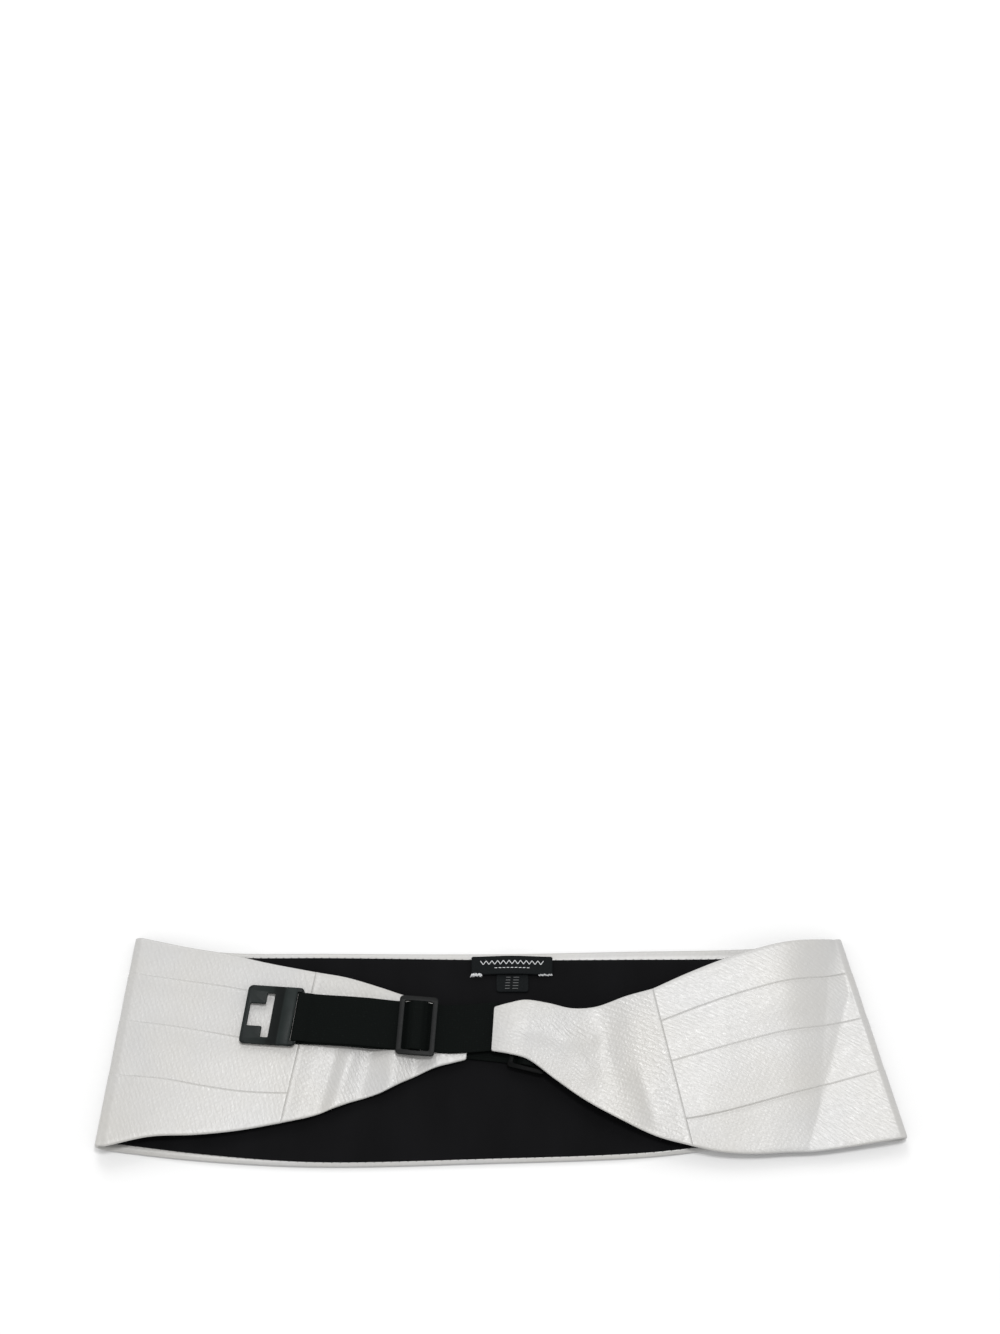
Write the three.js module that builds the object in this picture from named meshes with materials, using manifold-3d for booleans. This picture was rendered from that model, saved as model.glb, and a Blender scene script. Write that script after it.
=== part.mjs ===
// A pleated white cummerbund with a black lining, laid down on its face with both ends folded over
// the middle. Each end narrows to an elastic strap with a slider: one carries the slotted clasp, the
// other the hook that goes into it.
// Millimetres, +Z up. The part lies on z = 0, and its origin is the middle of its footprint.
import * as THREE from "three";
import { mergeVertices } from "three/addons/utils/BufferGeometryUtils.js";
import Module from "manifold-3d";

const wasm = await Module();
wasm.setup();

// Band sizes
const bandWidth = 114;
const foldedLength = 400;
const halfLength = foldedLength / 2;
const lipWall = 2.2;
const valleyWall = 1.4;
const lipRun = 0.4;
const lipRamp = 0.4;
const edgeRound = 0.6;
const liningWall = 1;
const hemWidth = 4;
const endWall = 2;
const seamGap = 0.5;
const liningGap = 0.4;
const gap = 0.3;

// Room left inside each folded edge, close at the band's top edge and open at its bottom edge
const tightRoom = 2;
const openRoom = 11.4;
const foldSteps = 10;

// Strap and hardware sizes
const strapWidth = 25;
const strapWall = 1;
const sewnLength = 4;
const sideRoom = 0.4;
const railWidth = 2.6;
const sliderLength = 20;
const sliderBar = 2.8;
const sliderWall = 2;
const middleBarWidth = 2.4;
const middleBarWall = 1.2;
const plateWall = 2;
const endBarWidth = 1.8;
const endBarWall = 1.6;
const cornerRadius = 2;

// Where the sliders and the two halves of the fastening sit, measured along each strap from its tip
const claspSlider = 39.5;
const claspReach = 99.8;
const hookSlider = 33.5;
const hookReach = 76.5;

// Clasp sizes, from its free edge to the strap
const claspRim = 2.1;
const mouthLength = 7.9;
const mouthWidth = 12;
const crossSlotLength = 4;
const crossSlotWidth = 23.4;
const claspWeb = 3.9;
const claspSlope = 1.4;
const claspBar = 6.2;
const barRise = 1.1;
const barEdgeRise = 0.77;
const claspSkew = 5;
const slotRound = 0.8;

// Hook sizes
const hookFrame = 6;
const hookNeckLength = 9;
const hookNeckWidth = 10.6;
const hookHeadLength = 3.2;
const hookHeadWidth = 22;

// Label sizes
const labelLength = 42.4;
const labelWidth = 9.8;
const labelWall = 1;
const labelArch = 2;
const careLength = 16.6;
const careWidth = 10;
const labelX = 7.3;
const labelInset = 2.2;
const careX = 7.5;
const careDrop = 9;

// Heights that follow from what lies on what
const strapStack = strapWall + 2 * gap;
const tightRadius = tightRoom / 2 + liningGap + liningWall;
const openRadius = openRoom / 2 + liningGap + liningWall;
const openRise = 2 * openRadius;
const backFace = lipWall + liningGap + liningWall;
const hookBase = backFace + gap;
const leftLevel = hookBase + strapStack;
const claspBase = leftLevel + endWall + gap;
const rightLevel = claspBase + strapStack;

// Strap heights over the surface that a strap lies on, to the middle of the strap
const bend = (gap + strapWall / 2) / Math.cos(Math.PI / 12);
const lowerRun = gap + strapWall / 2;
const upperRun = lowerRun + strapWall + gap;
const barBase = upperRun + bend;
const underMiddleBar = barBase - bend;
const overMiddleBar = barBase + middleBarWall + bend;
const overStrapEnd = overMiddleBar + strapWall + gap;
const endBarBase = lowerRun + bend;
const overEndBar = endBarBase + endBarWall + bend;

// How a strap lies at the bars: its room beside a bar, how far from the middle bar it starts to climb
// and levels out, how far from a slider and a fitting it starts to rise or dip, and by how much
const barRoom = 0.6;
const climbStart = 2.5;
const climbLevel = 0.9;
const crownHalf = 0.8;
const crownDrop = 0.25;
const sliderDip = 5;
const sliderLeave = 6;
const fittingRise = 9;
const fittingLevel = 4;
const softStep = 0.2;

// A strap's line is walked in short steps, and a smooth curve goes through every few of them
const walkStep = 0.5;
const walkPick = 12;

const hardwareWidth = strapWidth + 2 * sideRoom + 2 * railWidth;

// Each row is a line across the band, from its top edge to its bottom edge. x is a share of half the
// folded length, y a share of the band's width, and rise a share of the open fold's height, counted
// from the level at which that stretch of the band lies.
const backRows = [
  { topX: -0.928, topY: 0.516, bottomX: -0.99, bottomY: -0.463 },
  { topX: -0.72, topY: 0.464, bottomX: -0.775, bottomY: -0.524 },
  { topX: -0.45, topY: 0.458, bottomX: -0.475, bottomY: -0.551 },
  { topX: -0.02, topY: 0.456, bottomX: -0.02, bottomY: -0.535 },
  { topX: 0.35, topY: 0.468, bottomX: 0.375, bottomY: -0.51 },
  { topX: 0.63, topY: 0.478, bottomX: 0.7, bottomY: -0.479 },
  { topX: 0.878, topY: 0.508, bottomX: 1.007, bottomY: -0.426 },
];
const leftWingRows = [
  { topX: -0.81, topY: 0.473, bottomX: -0.885, bottomY: -0.438, topRise: 0.1, bottomRise: 0.6 },
  { topX: -0.705, topY: 0.44, bottomX: -0.775, bottomY: -0.422, topRise: 0.08, bottomRise: 0.38 },
  { topX: -0.6, topY: 0.398, bottomX: -0.67, bottomY: -0.39, topRise: 0.06, bottomRise: 0.2 },
  { topX: -0.473, topY: 0.342, bottomX: -0.555, bottomY: -0.344, topRise: 0.04, bottomRise: 0.09 },
];
const leftEndRows = [
  { topX: -0.392, topY: 0.324, bottomX: -0.475, bottomY: -0.311, topRise: 0.02, bottomRise: 0.05 },
  { topX: -0.3, topY: 0.273, bottomX: -0.37, bottomY: -0.243, topRise: 0.01, bottomRise: 0.08 },
  { topX: -0.25, topY: 0.25, bottomX: -0.3, bottomY: -0.204, topRise: 0.01, bottomRise: 0.05 },
  { topX: -0.2, topY: 0.232, bottomX: -0.24, bottomY: -0.15, topRise: 0, bottomRise: 0.02 },
  { topX: -0.14, topY: 0.213, bottomX: -0.16, bottomY: -0.088, topRise: 0, bottomRise: 0.03 },
];
const rightWingRows = [
  { topX: 0.865, topY: 0.508, bottomX: 0.815, bottomY: -0.506, topRise: -0.16, bottomRise: 0.13 },
  { topX: 0.75, topY: 0.489, bottomX: 0.74, bottomY: -0.51, topRise: -0.06, bottomRise: 0.16 },
  { topX: 0.61, topY: 0.421, bottomX: 0.64, bottomY: -0.505, topRise: 0.13, bottomRise: 0.2 },
  { topX: 0.5, topY: 0.348, bottomX: 0.56, bottomY: -0.491, topRise: 0.05, bottomRise: 0.13 },
  { topX: 0.4, topY: 0.27, bottomX: 0.495, bottomY: -0.473, topRise: 0.03, bottomRise: 0.1 },
];
const rightEndRows = [
  { topX: 0.33, topY: 0.236, bottomX: 0.4, bottomY: -0.43, topRise: 0.04, bottomRise: 0.12 },
  { topX: 0.25, topY: 0.19, bottomX: 0.3, bottomY: -0.333, topRise: 0.03, bottomRise: 0.06 },
  { topX: 0.19, topY: 0.182, bottomX: 0.22, bottomY: -0.247, topRise: 0.07, bottomRise: 0.1 },
  { topX: 0.13, topY: 0.2, bottomX: 0.145, bottomY: -0.151, topRise: 0.14, bottomRise: 0.15 },
  { topX: 0.07, topY: 0.214, bottomX: 0.075, bottomY: -0.061, topRise: 0.16, bottomRise: 0.15 },
  { topX: 0.03, topY: 0.202, bottomX: 0.03, bottomY: -0.036, topRise: 0.12, bottomRise: 0.12 },
];
const leftTip = { x: -0.083, y: 0.07, width: 0.24, lean: 1, strapY: 0.07 };
const rightTip = { x: -0.012, y: 0.083, width: 0.205, lean: 0.8, strapY: 0.1 };

// Where the three pleat lines cross the band: shares of its width, over the back and at a seam
const pleatLines = [
  { back: 0.175, leftSeam: 0.186, rightSeam: 0.21 },
  { back: 0.402, leftSeam: 0.48, rightSeam: 0.465 },
  { back: 0.663, leftSeam: 0.805, rightSeam: 0.83 },
];

// Headings of the straps, in degrees anticlockwise from +X, and their heights over the level they
// start at, as shares of the open fold's height. Both go by the distance from the strap's tip.
const claspStrapRun = [
  { at: 0, heading: 187, rise: 0 },
  { at: 20, heading: 186, rise: 0.01 },
  { at: 26, heading: 175.5, rise: 0.01 },
  { at: 68, heading: 175, rise: 0.04 },
  { at: 132, heading: 174.5, rise: 0.17 },
];
const hookStrapRun = [
  { at: 0, heading: -6, rise: 0 },
  { at: 10, heading: -8, rise: 0 },
  { at: 18, heading: -16, rise: 0 },
  { at: 120, heading: -16, rise: 0 },
];

const clothWhite = { color: 0xdedbd6, roughness: 0.7, metalness: 0 };
const clothBlack = { color: 0x151516, roughness: 0.9, metalness: 0 };
const elasticBlack = { color: 0x131514, roughness: 0.85, metalness: 0 };
const claspPlastic = { color: 0x3a4040, roughness: 0.45, metalness: 0 };
const sliderPlastic = { color: 0x1e1f1f, roughness: 0.5, metalness: 0 };

// Mesh helpers

// One closed mesh through rings of points that all have the same count. The flat points give the
// ring's own outline, from which its two ends are filled.
function closedLoft(rings, flatPoints) {
  const count = flatPoints.length;
  const positions = rings.flat().flatMap((p) => [p.x, p.y, p.z]);
  const faces = [];
  for (let i = 0; i + 1 < rings.length; i++) {
    for (let j = 0; j < count; j++) {
      const a = i * count + j;
      const b = i * count + ((j + 1) % count);
      faces.push(a, b, b + count, a, b + count, a + count);
    }
  }
  const last = (rings.length - 1) * count;
  const sense = Math.sign(THREE.ShapeUtils.area(flatPoints));
  for (const [a, b, c] of THREE.ShapeUtils.triangulateShape(flatPoints, [])) {
    const inOrder = sense * THREE.ShapeUtils.area([a, b, c].map((k) => flatPoints[k])) > 0;
    const [p, q] = inOrder ? [b, c] : [c, b];
    faces.push(a, q, p, last + a, last + p, last + q);
  }
  const geometry = new THREE.BufferGeometry();
  geometry.setAttribute("position", new THREE.Float32BufferAttribute(positions, 3));
  geometry.setIndex(faces);
  return facingOut(geometry);
}

function signedVolume(geometry) {
  const p = geometry.getAttribute("position");
  const faces = geometry.getIndex().array;
  const [a, b, c] = [new THREE.Vector3(), new THREE.Vector3(), new THREE.Vector3()];
  let sum = 0;
  for (let i = 0; i < faces.length; i += 3) {
    a.fromBufferAttribute(p, faces[i]);
    b.fromBufferAttribute(p, faces[i + 1]);
    c.fromBufferAttribute(p, faces[i + 2]);
    sum += a.dot(b.cross(c)) / 6;
  }
  return sum;
}

function facingOut(geometry) {
  if (signedVolume(geometry) < 0) {
    const faces = geometry.getIndex().array;
    for (let i = 0; i < faces.length; i += 3) {
      [faces[i + 1], faces[i + 2]] = [faces[i + 2], faces[i + 1]];
    }
  }
  return geometry;
}

function solidFrom(geometry) {
  const bare = geometry.clone();
  bare.deleteAttribute("normal");
  bare.deleteAttribute("uv");
  const merged = mergeVertices(bare, 1e-4);
  return new wasm.Manifold(
    new wasm.Mesh({
      numProp: 3,
      vertProperties: merged.getAttribute("position").array,
      triVerts: new Uint32Array(merged.getIndex().array),
    }),
  );
}

function geometryFrom(solid) {
  const mesh = solid.getMesh();
  const geometry = new THREE.BufferGeometry();
  geometry.setAttribute("position", new THREE.BufferAttribute(mesh.vertProperties, 3));
  geometry.setIndex(new THREE.BufferAttribute(mesh.triVerts, 1));
  return geometry;
}

// A block between two corners, as a solid
function block(low, high) {
  const box = new THREE.BoxGeometry(high[0] - low[0], high[1] - low[1], high[2] - low[2]);
  box.translate((low[0] + high[0]) / 2, (low[1] + high[1]) / 2, (low[2] + high[2]) / 2);
  return solidFrom(box);
}

// A plate with round corners between two corners, as a solid
function roundPlate(low, high, radius) {
  const [x0, y0, x1, y1] = [low[0], low[1], high[0], high[1]];
  const outline = new THREE.Shape();
  outline.moveTo(x0 + radius, y0);
  outline.lineTo(x1 - radius, y0);
  outline.absarc(x1 - radius, y0 + radius, radius, -Math.PI / 2, 0);
  outline.lineTo(x1, y1 - radius);
  outline.absarc(x1 - radius, y1 - radius, radius, 0, Math.PI / 2);
  outline.lineTo(x0 + radius, y1);
  outline.absarc(x0 + radius, y1 - radius, radius, Math.PI / 2, Math.PI);
  outline.lineTo(x0, y0 + radius);
  outline.absarc(x0 + radius, y0 + radius, radius, Math.PI, 1.5 * Math.PI);
  const plate = new THREE.ExtrudeGeometry(outline, {
    depth: high[2] - low[2],
    bevelEnabled: false,
    curveSegments: 3,
  });
  plate.translate(0, 0, low[2]);
  return solidFrom(plate);
}

// A side outline in x and z, drawn out to a width across y, as a solid
function sideBlock(outline, width) {
  const shape = new THREE.Shape(outline.map(([x, z]) => new THREE.Vector2(x, z)));
  const drawn = new THREE.ExtrudeGeometry(shape, { depth: width, bevelEnabled: false });
  drawn.rotateX(Math.PI / 2);
  drawn.translate(0, width / 2, 0);
  return solidFrom(drawn);
}

function named(name, geometry, finish) {
  const mesh = new THREE.Mesh(geometry, new THREE.MeshStandardMaterial(finish));
  mesh.name = name;
  return mesh;
}

// The band's lines across

function placeRow(row, level) {
  return {
    top: new THREE.Vector3(
      row.topX * halfLength,
      row.topY * bandWidth,
      level + (row.topRise ?? 0) * openRise,
    ),
    bottom: new THREE.Vector3(
      row.bottomX * halfLength,
      row.bottomY * bandWidth,
      level + (row.bottomRise ?? 0) * openRise,
    ),
  };
}

// Lines across spread evenly along smooth curves through the given ones
function smoothLines(lines, stepsBetween) {
  const top = new THREE.CatmullRomCurve3(lines.map((l) => l.top), false, "centripetal");
  const bottom = new THREE.CatmullRomCurve3(lines.map((l) => l.bottom), false, "centripetal");
  const steps = (lines.length - 1) * stepsBetween;
  return Array.from({ length: steps + 1 }, (_, i) => ({
    top: top.getPoint(i / steps),
    bottom: bottom.getPoint(i / steps),
  }));
}

// The folded edge: half a turn about the line across, wider at the bottom edge than at the top
function foldLines(line, outwards) {
  const along = new THREE.Vector3().subVectors(line.bottom, line.top);
  const out = new THREE.Vector3(-along.y, along.x, 0).normalize().multiplyScalar(outwards);
  const turned = (point, radius, angle) =>
    point
      .clone()
      .addScaledVector(out, radius * Math.sin(angle))
      .setZ(point.z + radius * (1 - Math.cos(angle)));
  return Array.from({ length: foldSteps + 1 }, (_, i) => {
    const angle = (Math.PI * i) / foldSteps;
    return {
      top: turned(line.top, tightRadius, angle),
      bottom: turned(line.bottom, openRadius, angle),
    };
  });
}

// The whole pleated band, from the left seam round both folded edges to the right seam. Each line
// also says which seam it is nearer and how far towards it, 0 to 1, for the pleats.
function bandLines() {
  const back = smoothLines(backRows.map((r) => placeRow(r, lipWall)), 4);
  const leftFold = foldLines(back[0], 1);
  const rightFold = foldLines(back[back.length - 1], 1);
  if (leftFold[foldSteps / 2].top.x > leftFold[0].top.x) {
    leftFold.splice(0, leftFold.length, ...foldLines(back[0], -1));
  }
  if (rightFold[foldSteps / 2].top.x < rightFold[0].top.x) {
    rightFold.splice(0, rightFold.length, ...foldLines(back[back.length - 1], -1));
  }
  const leftWing = smoothLines(
    [leftFold[foldSteps], ...leftWingRows.map((r) => placeRow(r, leftLevel))],
    3,
  );
  const rightWing = smoothLines(
    [rightFold[foldSteps], ...rightWingRows.map((r) => placeRow(r, rightLevel))],
    3,
  );
  const towards = (seam, lines) =>
    lines.map((l, i) => ({ ...l, seam, share: i / (lines.length - 1) }));
  const onBack = (lines) => lines.map((l) => ({ ...l, seam: "leftSeam", share: 0 }));
  return [
    ...towards("leftSeam", leftWing).slice(1).reverse(),
    ...onBack(leftFold).slice(1).reverse(),
    ...onBack(back),
    ...onBack(rightFold).slice(1),
    ...towards("rightSeam", rightWing).slice(1),
  ];
}

// An end panel, from its seam to its tip
function endLines(seamLine, rows, tip, level) {
  const x = tip.x * halfLength;
  const y = tip.y * bandWidth;
  const half = (tip.width * bandWidth) / 2;
  const tipLine = {
    top: new THREE.Vector3(x + tip.lean, y + half, level),
    bottom: new THREE.Vector3(x - tip.lean, y - half, level),
  };
  const lines = [seamLine, ...rows.map((r) => placeRow(r, level)), tipLine];
  const smooth = smoothLines(lines, 3);
  const step = new THREE.Vector3();
  for (const edge of ["top", "bottom"]) {
    step.subVectors(smooth[1][edge], smooth[0][edge]).setLength(seamGap);
    smooth[0] = { ...smooth[0], [edge]: smooth[0][edge].clone().add(step) };
  }
  return smooth;
}

// Rings that follow lines across: each outline point is a share of the width and a height over the
// surface, which faces the outer side of the band
function ringsAlong(lines, outlineAt) {
  const pointAt = (i, share) => {
    const line = lines[Math.min(Math.max(i, 0), lines.length - 1)];
    return new THREE.Vector3().lerpVectors(line.top, line.bottom, share);
  };
  return lines.map((line, i) => {
    const across = new THREE.Vector3().subVectors(line.bottom, line.top);
    return outlineAt(line).map(([share, height]) => {
      const ahead = pointAt(i + 1, share).sub(pointAt(i - 1, share));
      const out = ahead.cross(across).normalize();
      return pointAt(i, share).addScaledVector(out, height);
    });
  });
}

// The pleated cloth cut across: a lip at the upper end of each pleat, then a slope that passes under
// the next one. The top and bottom edges are rounded where the cloth turns in.
function pleatOutline(line) {
  const width = line.top.distanceTo(line.bottom);
  const round = edgeRound / width;
  const ramp = lipRamp / width;
  const marks = pleatLines.map((p) => p.back + (p[line.seam] - p.back) * line.share);
  const middle = (lipWall + valleyWall) / 2;
  const outline = [[0, edgeRound], [0, middle - edgeRound], [round, middle]];
  marks.forEach((mark, k) => {
    const next = marks[k + 1] ?? 1;
    outline.push([mark - ramp, valleyWall], [mark, lipWall]);
    outline.push([mark + (next - mark) * lipRun, lipWall]);
  });
  outline.push([1 - round, middle], [1, middle - edgeRound], [1, edgeRound]);
  const inner = [1 - round, 0.75, 0.5, 0.25, round];
  return [...outline, ...inner.map((share) => [share, 0])];
}

function plainOutline(low, high, from, to, columns) {
  const shares = Array.from({ length: columns + 1 }, (_, i) => from + ((to - from) * i) / columns);
  return [...shares.map((s) => [s, high]), ...shares.reverse().map((s) => [s, low])];
}

function flatOutline(line, outline) {
  const width = line.top.distanceTo(line.bottom);
  return outline.map(([share, height]) => new THREE.Vector2(share * width, height));
}

function pleatedCloth(lines) {
  const flat = flatOutline(lines[0], pleatOutline(lines[0]));
  return named("pleated_cloth", closedLoft(ringsAlong(lines, pleatOutline), flat), clothWhite);
}

// The lining lies on the inner side and leaves the turned hems of the white cloth to show
function lining(lines) {
  const outlineAt = (line) => {
    const hem = hemWidth / line.top.distanceTo(line.bottom);
    return plainOutline(-liningGap - liningWall, -liningGap, hem, 1 - hem, 4);
  };
  const inside = lines.slice(1, -1);
  const flat = flatOutline(inside[0], outlineAt(inside[0]));
  return named("lining", closedLoft(ringsAlong(inside, outlineAt), flat), clothBlack);
}

function endPanel(name, lines, side) {
  const ordered = side < 0 ? [...lines].reverse() : lines;
  const outlineAt = () => plainOutline(0, endWall, 0, 1, 5);
  const flat = flatOutline(ordered[0], outlineAt());
  return named(name, closedLoft(ringsAlong(ordered, outlineAt), flat), clothWhite);
}

// Straps

function readRun(run, at, column) {
  const last = run.length - 1;
  const k = Math.max(0, Math.min(last - 1, run.findIndex((r) => r.at > at) - 1));
  const from = at >= run[last].at ? last - 1 : k;
  const share = THREE.MathUtils.clamp((at - run[from].at) / (run[from + 1].at - run[from].at), 0, 1);
  return run[from][column] + (run[from + 1][column] - run[from][column]) * share;
}

// The line that a strap follows, as a function that gives its place, direction and upright at a
// distance from the tip. It is walked in short steps.
function strapLine(tip, run, base) {
  const reach = run[run.length - 1].at;
  const places = [];
  const place = new THREE.Vector3(tip.x * halfLength, tip.strapY * bandWidth, 0);
  for (let at = 0; at <= reach; at += walkStep) {
    const heading = THREE.MathUtils.degToRad(readRun(run, at, "heading"));
    places.push(place.clone().setZ(base + readRun(run, at, "rise") * openRise));
    place.x += Math.cos(heading) * walkStep;
    place.y += Math.sin(heading) * walkStep;
  }
  const curve = new THREE.CatmullRomCurve3(places.filter((_, i) => i % walkPick === 0));
  const spacing = walkPick * walkStep;
  const span = (curve.points.length - 1) * spacing;
  return (at) => {
    const share = THREE.MathUtils.clamp(at / span, 0, 1);
    const ahead = curve.getTangent(share).normalize();
    const origin = curve.getPoint(share).addScaledVector(ahead, at - share * span);
    const upright = new THREE.Vector3(0, 0, 1).addScaledVector(ahead, -ahead.z).normalize();
    const across = new THREE.Vector3().crossVectors(upright, ahead);
    return { origin, ahead, across, upright };
  };
}

function frameMatrix({ origin, ahead, across, upright }) {
  return new THREE.Matrix4().makeBasis(ahead, across, upright).setPosition(origin);
}

// A quarter turn round a bar's corner, clockwise from the given angle
function quarterTurn(x, z, from) {
  return [0, 30, 60, 90].map((step) => {
    const angle = THREE.MathUtils.degToRad(from - step);
    return [x + bend * Math.cos(angle), z + bend * Math.sin(angle)];
  });
}

// The strap seen from its side: distance from the tip and height. It goes from the sewn end under
// the slider's near bar, over the middle bar, under the far bar and round the fitting's end bar,
// and comes back below to turn round the middle bar.
function strapPath(slider, reach) {
  const nearBar = slider - sliderLength / 2 + sliderBar / 2;
  const farBar = slider + sliderLength / 2 - sliderBar / 2;
  const inside = sliderLength / 2 - sliderBar - barRoom;
  const climb = middleBarWidth / 2 + climbStart;
  const level = middleBarWidth / 2 + climbLevel;
  const middleHigh = overMiddleBar - barRoom;
  const crownHigh = overStrapEnd - crownDrop;
  const barEdge = slider - middleBarWidth / 2;
  const endEdge = reach + endBarWidth / 2;
  return [
    [-sewnLength, lowerRun],
    [sewnLength / 2, lowerRun],
    [nearBar - sliderDip, lowerRun + softStep],
    [nearBar - 1, underMiddleBar],
    [slider - inside, underMiddleBar],
    [slider - climb, middleHigh],
    [slider - level, crownHigh],
    [slider - crownHalf, overStrapEnd],
    [slider + crownHalf, overStrapEnd],
    [slider + level, crownHigh],
    [slider + climb, middleHigh],
    [slider + inside, underMiddleBar],
    [farBar + 1, underMiddleBar],
    [farBar + sliderLeave, upperRun],
    [reach - fittingRise, upperRun],
    [reach - fittingLevel, overEndBar - bend / 2],
    [reach - endBarWidth / 2, overEndBar],
    ...quarterTurn(endEdge, endBarBase + endBarWall, 90),
    ...quarterTurn(endEdge, endBarBase, 0),
    [reach - fittingLevel, lowerRun],
    [slider + inside + 1, lowerRun],
    [slider + middleBarWidth / 2, underMiddleBar],
    ...quarterTurn(barEdge, barBase, -90),
    ...quarterTurn(barEdge, barBase + middleBarWall, 180),
    [slider + middleBarWidth / 2, overMiddleBar],
  ].map(([at, height]) => new THREE.Vector2(at, height));
}

// A flat strap whose middle follows the path, with its wall square to it. Beyond the slider its
// cross lines turn by up to the skew, in degrees, to lie along a skewed end bar.
function strap(name, line, path, skew, from, to) {
  const slant = Math.tan(THREE.MathUtils.degToRad(skew));
  const skewedBy = (at) => slant * THREE.MathUtils.smoothstep(at, from, to);
  const rings = path.map((point, i) => {
    const before = path[Math.max(i - 1, 0)];
    const after = path[Math.min(i + 1, path.length - 1)];
    const into = point.clone().sub(before).normalize();
    const away = after.clone().sub(point).normalize();
    const along = into.clone().add(away).normalize();
    const square = new THREE.Vector2(-along.y, along.x);
    const lead = into.lengthSq() > 0 ? into : away;
    const cosHalf = Math.max(0.5, along.dot(lead));
    const half = strapWall / 2 / cosHalf;
    const corner = (across, side) => {
      const at = point.x + square.x * side * half;
      const frame = line(at + (skewedBy(at) * across * strapWidth) / 2);
      return frame.origin
        .addScaledVector(frame.across, (across * strapWidth) / 2)
        .addScaledVector(frame.upright, point.y + square.y * side * half);
    };
    return [corner(-1, 1), corner(1, 1), corner(1, -1), corner(-1, -1)];
  });
  const flat = [
    new THREE.Vector2(-1, 1),
    new THREE.Vector2(1, 1),
    new THREE.Vector2(1, -1),
    new THREE.Vector2(-1, -1),
  ];
  return named(name, closedLoft(rings, flat), elasticBlack);
}

// Hardware, made about the strap's line: x along it, y across, z up

function slider(name, line, at) {
  const half = sliderLength / 2;
  const side = hardwareWidth / 2;
  const inner = strapWidth / 2 + sideRoom;
  const frame = roundPlate([-half, -side, barBase], [half, side, barBase + sliderWall], cornerRadius);
  const window = block(
    [-half + sliderBar, -inner, barBase - 1],
    [half - sliderBar, inner, barBase + sliderWall + 1],
  );
  const bar = block(
    [-middleBarWidth / 2, -inner - railWidth / 2, barBase],
    [middleBarWidth / 2, inner + railWidth / 2, barBase + middleBarWall],
  );
  const mesh = named(name, geometryFrom(frame.subtract(window).add(bar)), sliderPlastic);
  mesh.applyMatrix4(frameMatrix(line(at)));
  return mesh;
}

// The end bar that a strap goes round, with the slot beside it and the two side rails, as the near
// end of a plate whose length runs from the bar's middle
function strapEnd(length, outline) {
  const side = hardwareWidth / 2;
  const inner = strapWidth / 2 + sideRoom;
  const start = -endBarWidth / 2;
  const slotEnd = endBarWidth / 2 + bend + strapWall / 2 + gap;
  const body = sideBlock(outline, hardwareWidth).intersect(
    roundPlate([start, -side, 0], [length, side, 2 * plateWall + overEndBar], cornerRadius),
  );
  const tall = 2 * overEndBar + plateWall;
  const slot = block([endBarWidth / 2, -inner, -1], [slotEnd, inner, tall]);
  const overBar = block(
    [start - 1, -inner, endBarBase + endBarWall],
    [endBarWidth / 2 + gap, inner, tall],
  );
  return body.subtract(slot).subtract(overBar);
}

function clasp(line) {
  const barStart = endBarWidth / 2 + bend + strapWall / 2 + gap;
  const barEnd = barStart + claspBar;
  const webStart = barEnd + claspSlope;
  const crossStart = webStart + claspWeb;
  const mouthStart = crossStart + crossSlotLength;
  const mouthEnd = mouthStart + mouthLength;
  const length = mouthEnd + claspRim;
  const low = endBarBase;
  const high = endBarBase + plateWall;
  const body = strapEnd(length, [
    [-endBarWidth / 2, low],
    [length, low],
    [length, high],
    [webStart, high],
    [barEnd, high + barEdgeRise],
    [barStart + claspBar / 2, high + barRise],
    [-endBarWidth / 2, high + barRise],
  ]);
  const mouth = roundPlate(
    [crossStart + slotRound, -mouthWidth / 2, low - 1],
    [mouthEnd, mouthWidth / 2, high + 1],
    slotRound,
  );
  const cross = roundPlate(
    [crossStart, -crossSlotWidth / 2, low - 1],
    [mouthStart, crossSlotWidth / 2, high + 1],
    slotRound,
  );
  const mesh = named("clasp", geometryFrom(body.subtract(mouth).subtract(cross)), claspPlastic);
  const slant = Math.tan(THREE.MathUtils.degToRad(claspSkew));
  const skewed = new THREE.Matrix4().makeShear(0, 0, slant, 0, 0, 0);
  mesh.geometry.applyMatrix4(skewed).applyMatrix4(frameMatrix(line(claspReach)));
  return mesh;
}

function hook(line) {
  const frameEnd = endBarWidth / 2 + bend + strapWall / 2 + gap + hookFrame;
  const neckEnd = frameEnd + hookNeckLength;
  const low = endBarBase;
  const high = endBarBase + plateWall;
  const body = strapEnd(frameEnd, [
    [-endBarWidth / 2, low],
    [frameEnd, low],
    [frameEnd, high],
    [-endBarWidth / 2, high],
  ]);
  const neck = block(
    [frameEnd - 1, -hookNeckWidth / 2, low],
    [neckEnd + 1, hookNeckWidth / 2, high],
  );
  const head = roundPlate(
    [neckEnd, -hookHeadWidth / 2, low],
    [neckEnd + hookHeadLength, hookHeadWidth / 2, high],
    slotRound,
  );
  const mesh = named("hook", geometryFrom(body.add(neck).add(head)), claspPlastic);
  mesh.applyMatrix4(frameMatrix(line(hookReach)));
  return mesh;
}

// Labels on the lining: a long one that arches over a short one

function labelMesh(name, centreX, topY, length, width, arch, base) {
  const steps = 8;
  const rings = Array.from({ length: steps + 1 }, (_, i) => {
    const share = i / steps;
    const x = centreX + (share - 0.5) * length;
    const z = base + arch * Math.sin(Math.PI * share) ** 2;
    return [
      [topY, z],
      [topY, z + labelWall],
      [topY - width, z + labelWall],
      [topY - width, z],
    ].map(([y, height]) => new THREE.Vector3(x, y, height));
  });
  const flat = [
    new THREE.Vector2(0, 0),
    new THREE.Vector2(0, 1),
    new THREE.Vector2(1, 1),
    new THREE.Vector2(1, 0),
  ];
  return named(name, closedLoft(rings, flat), clothBlack);
}

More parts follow.
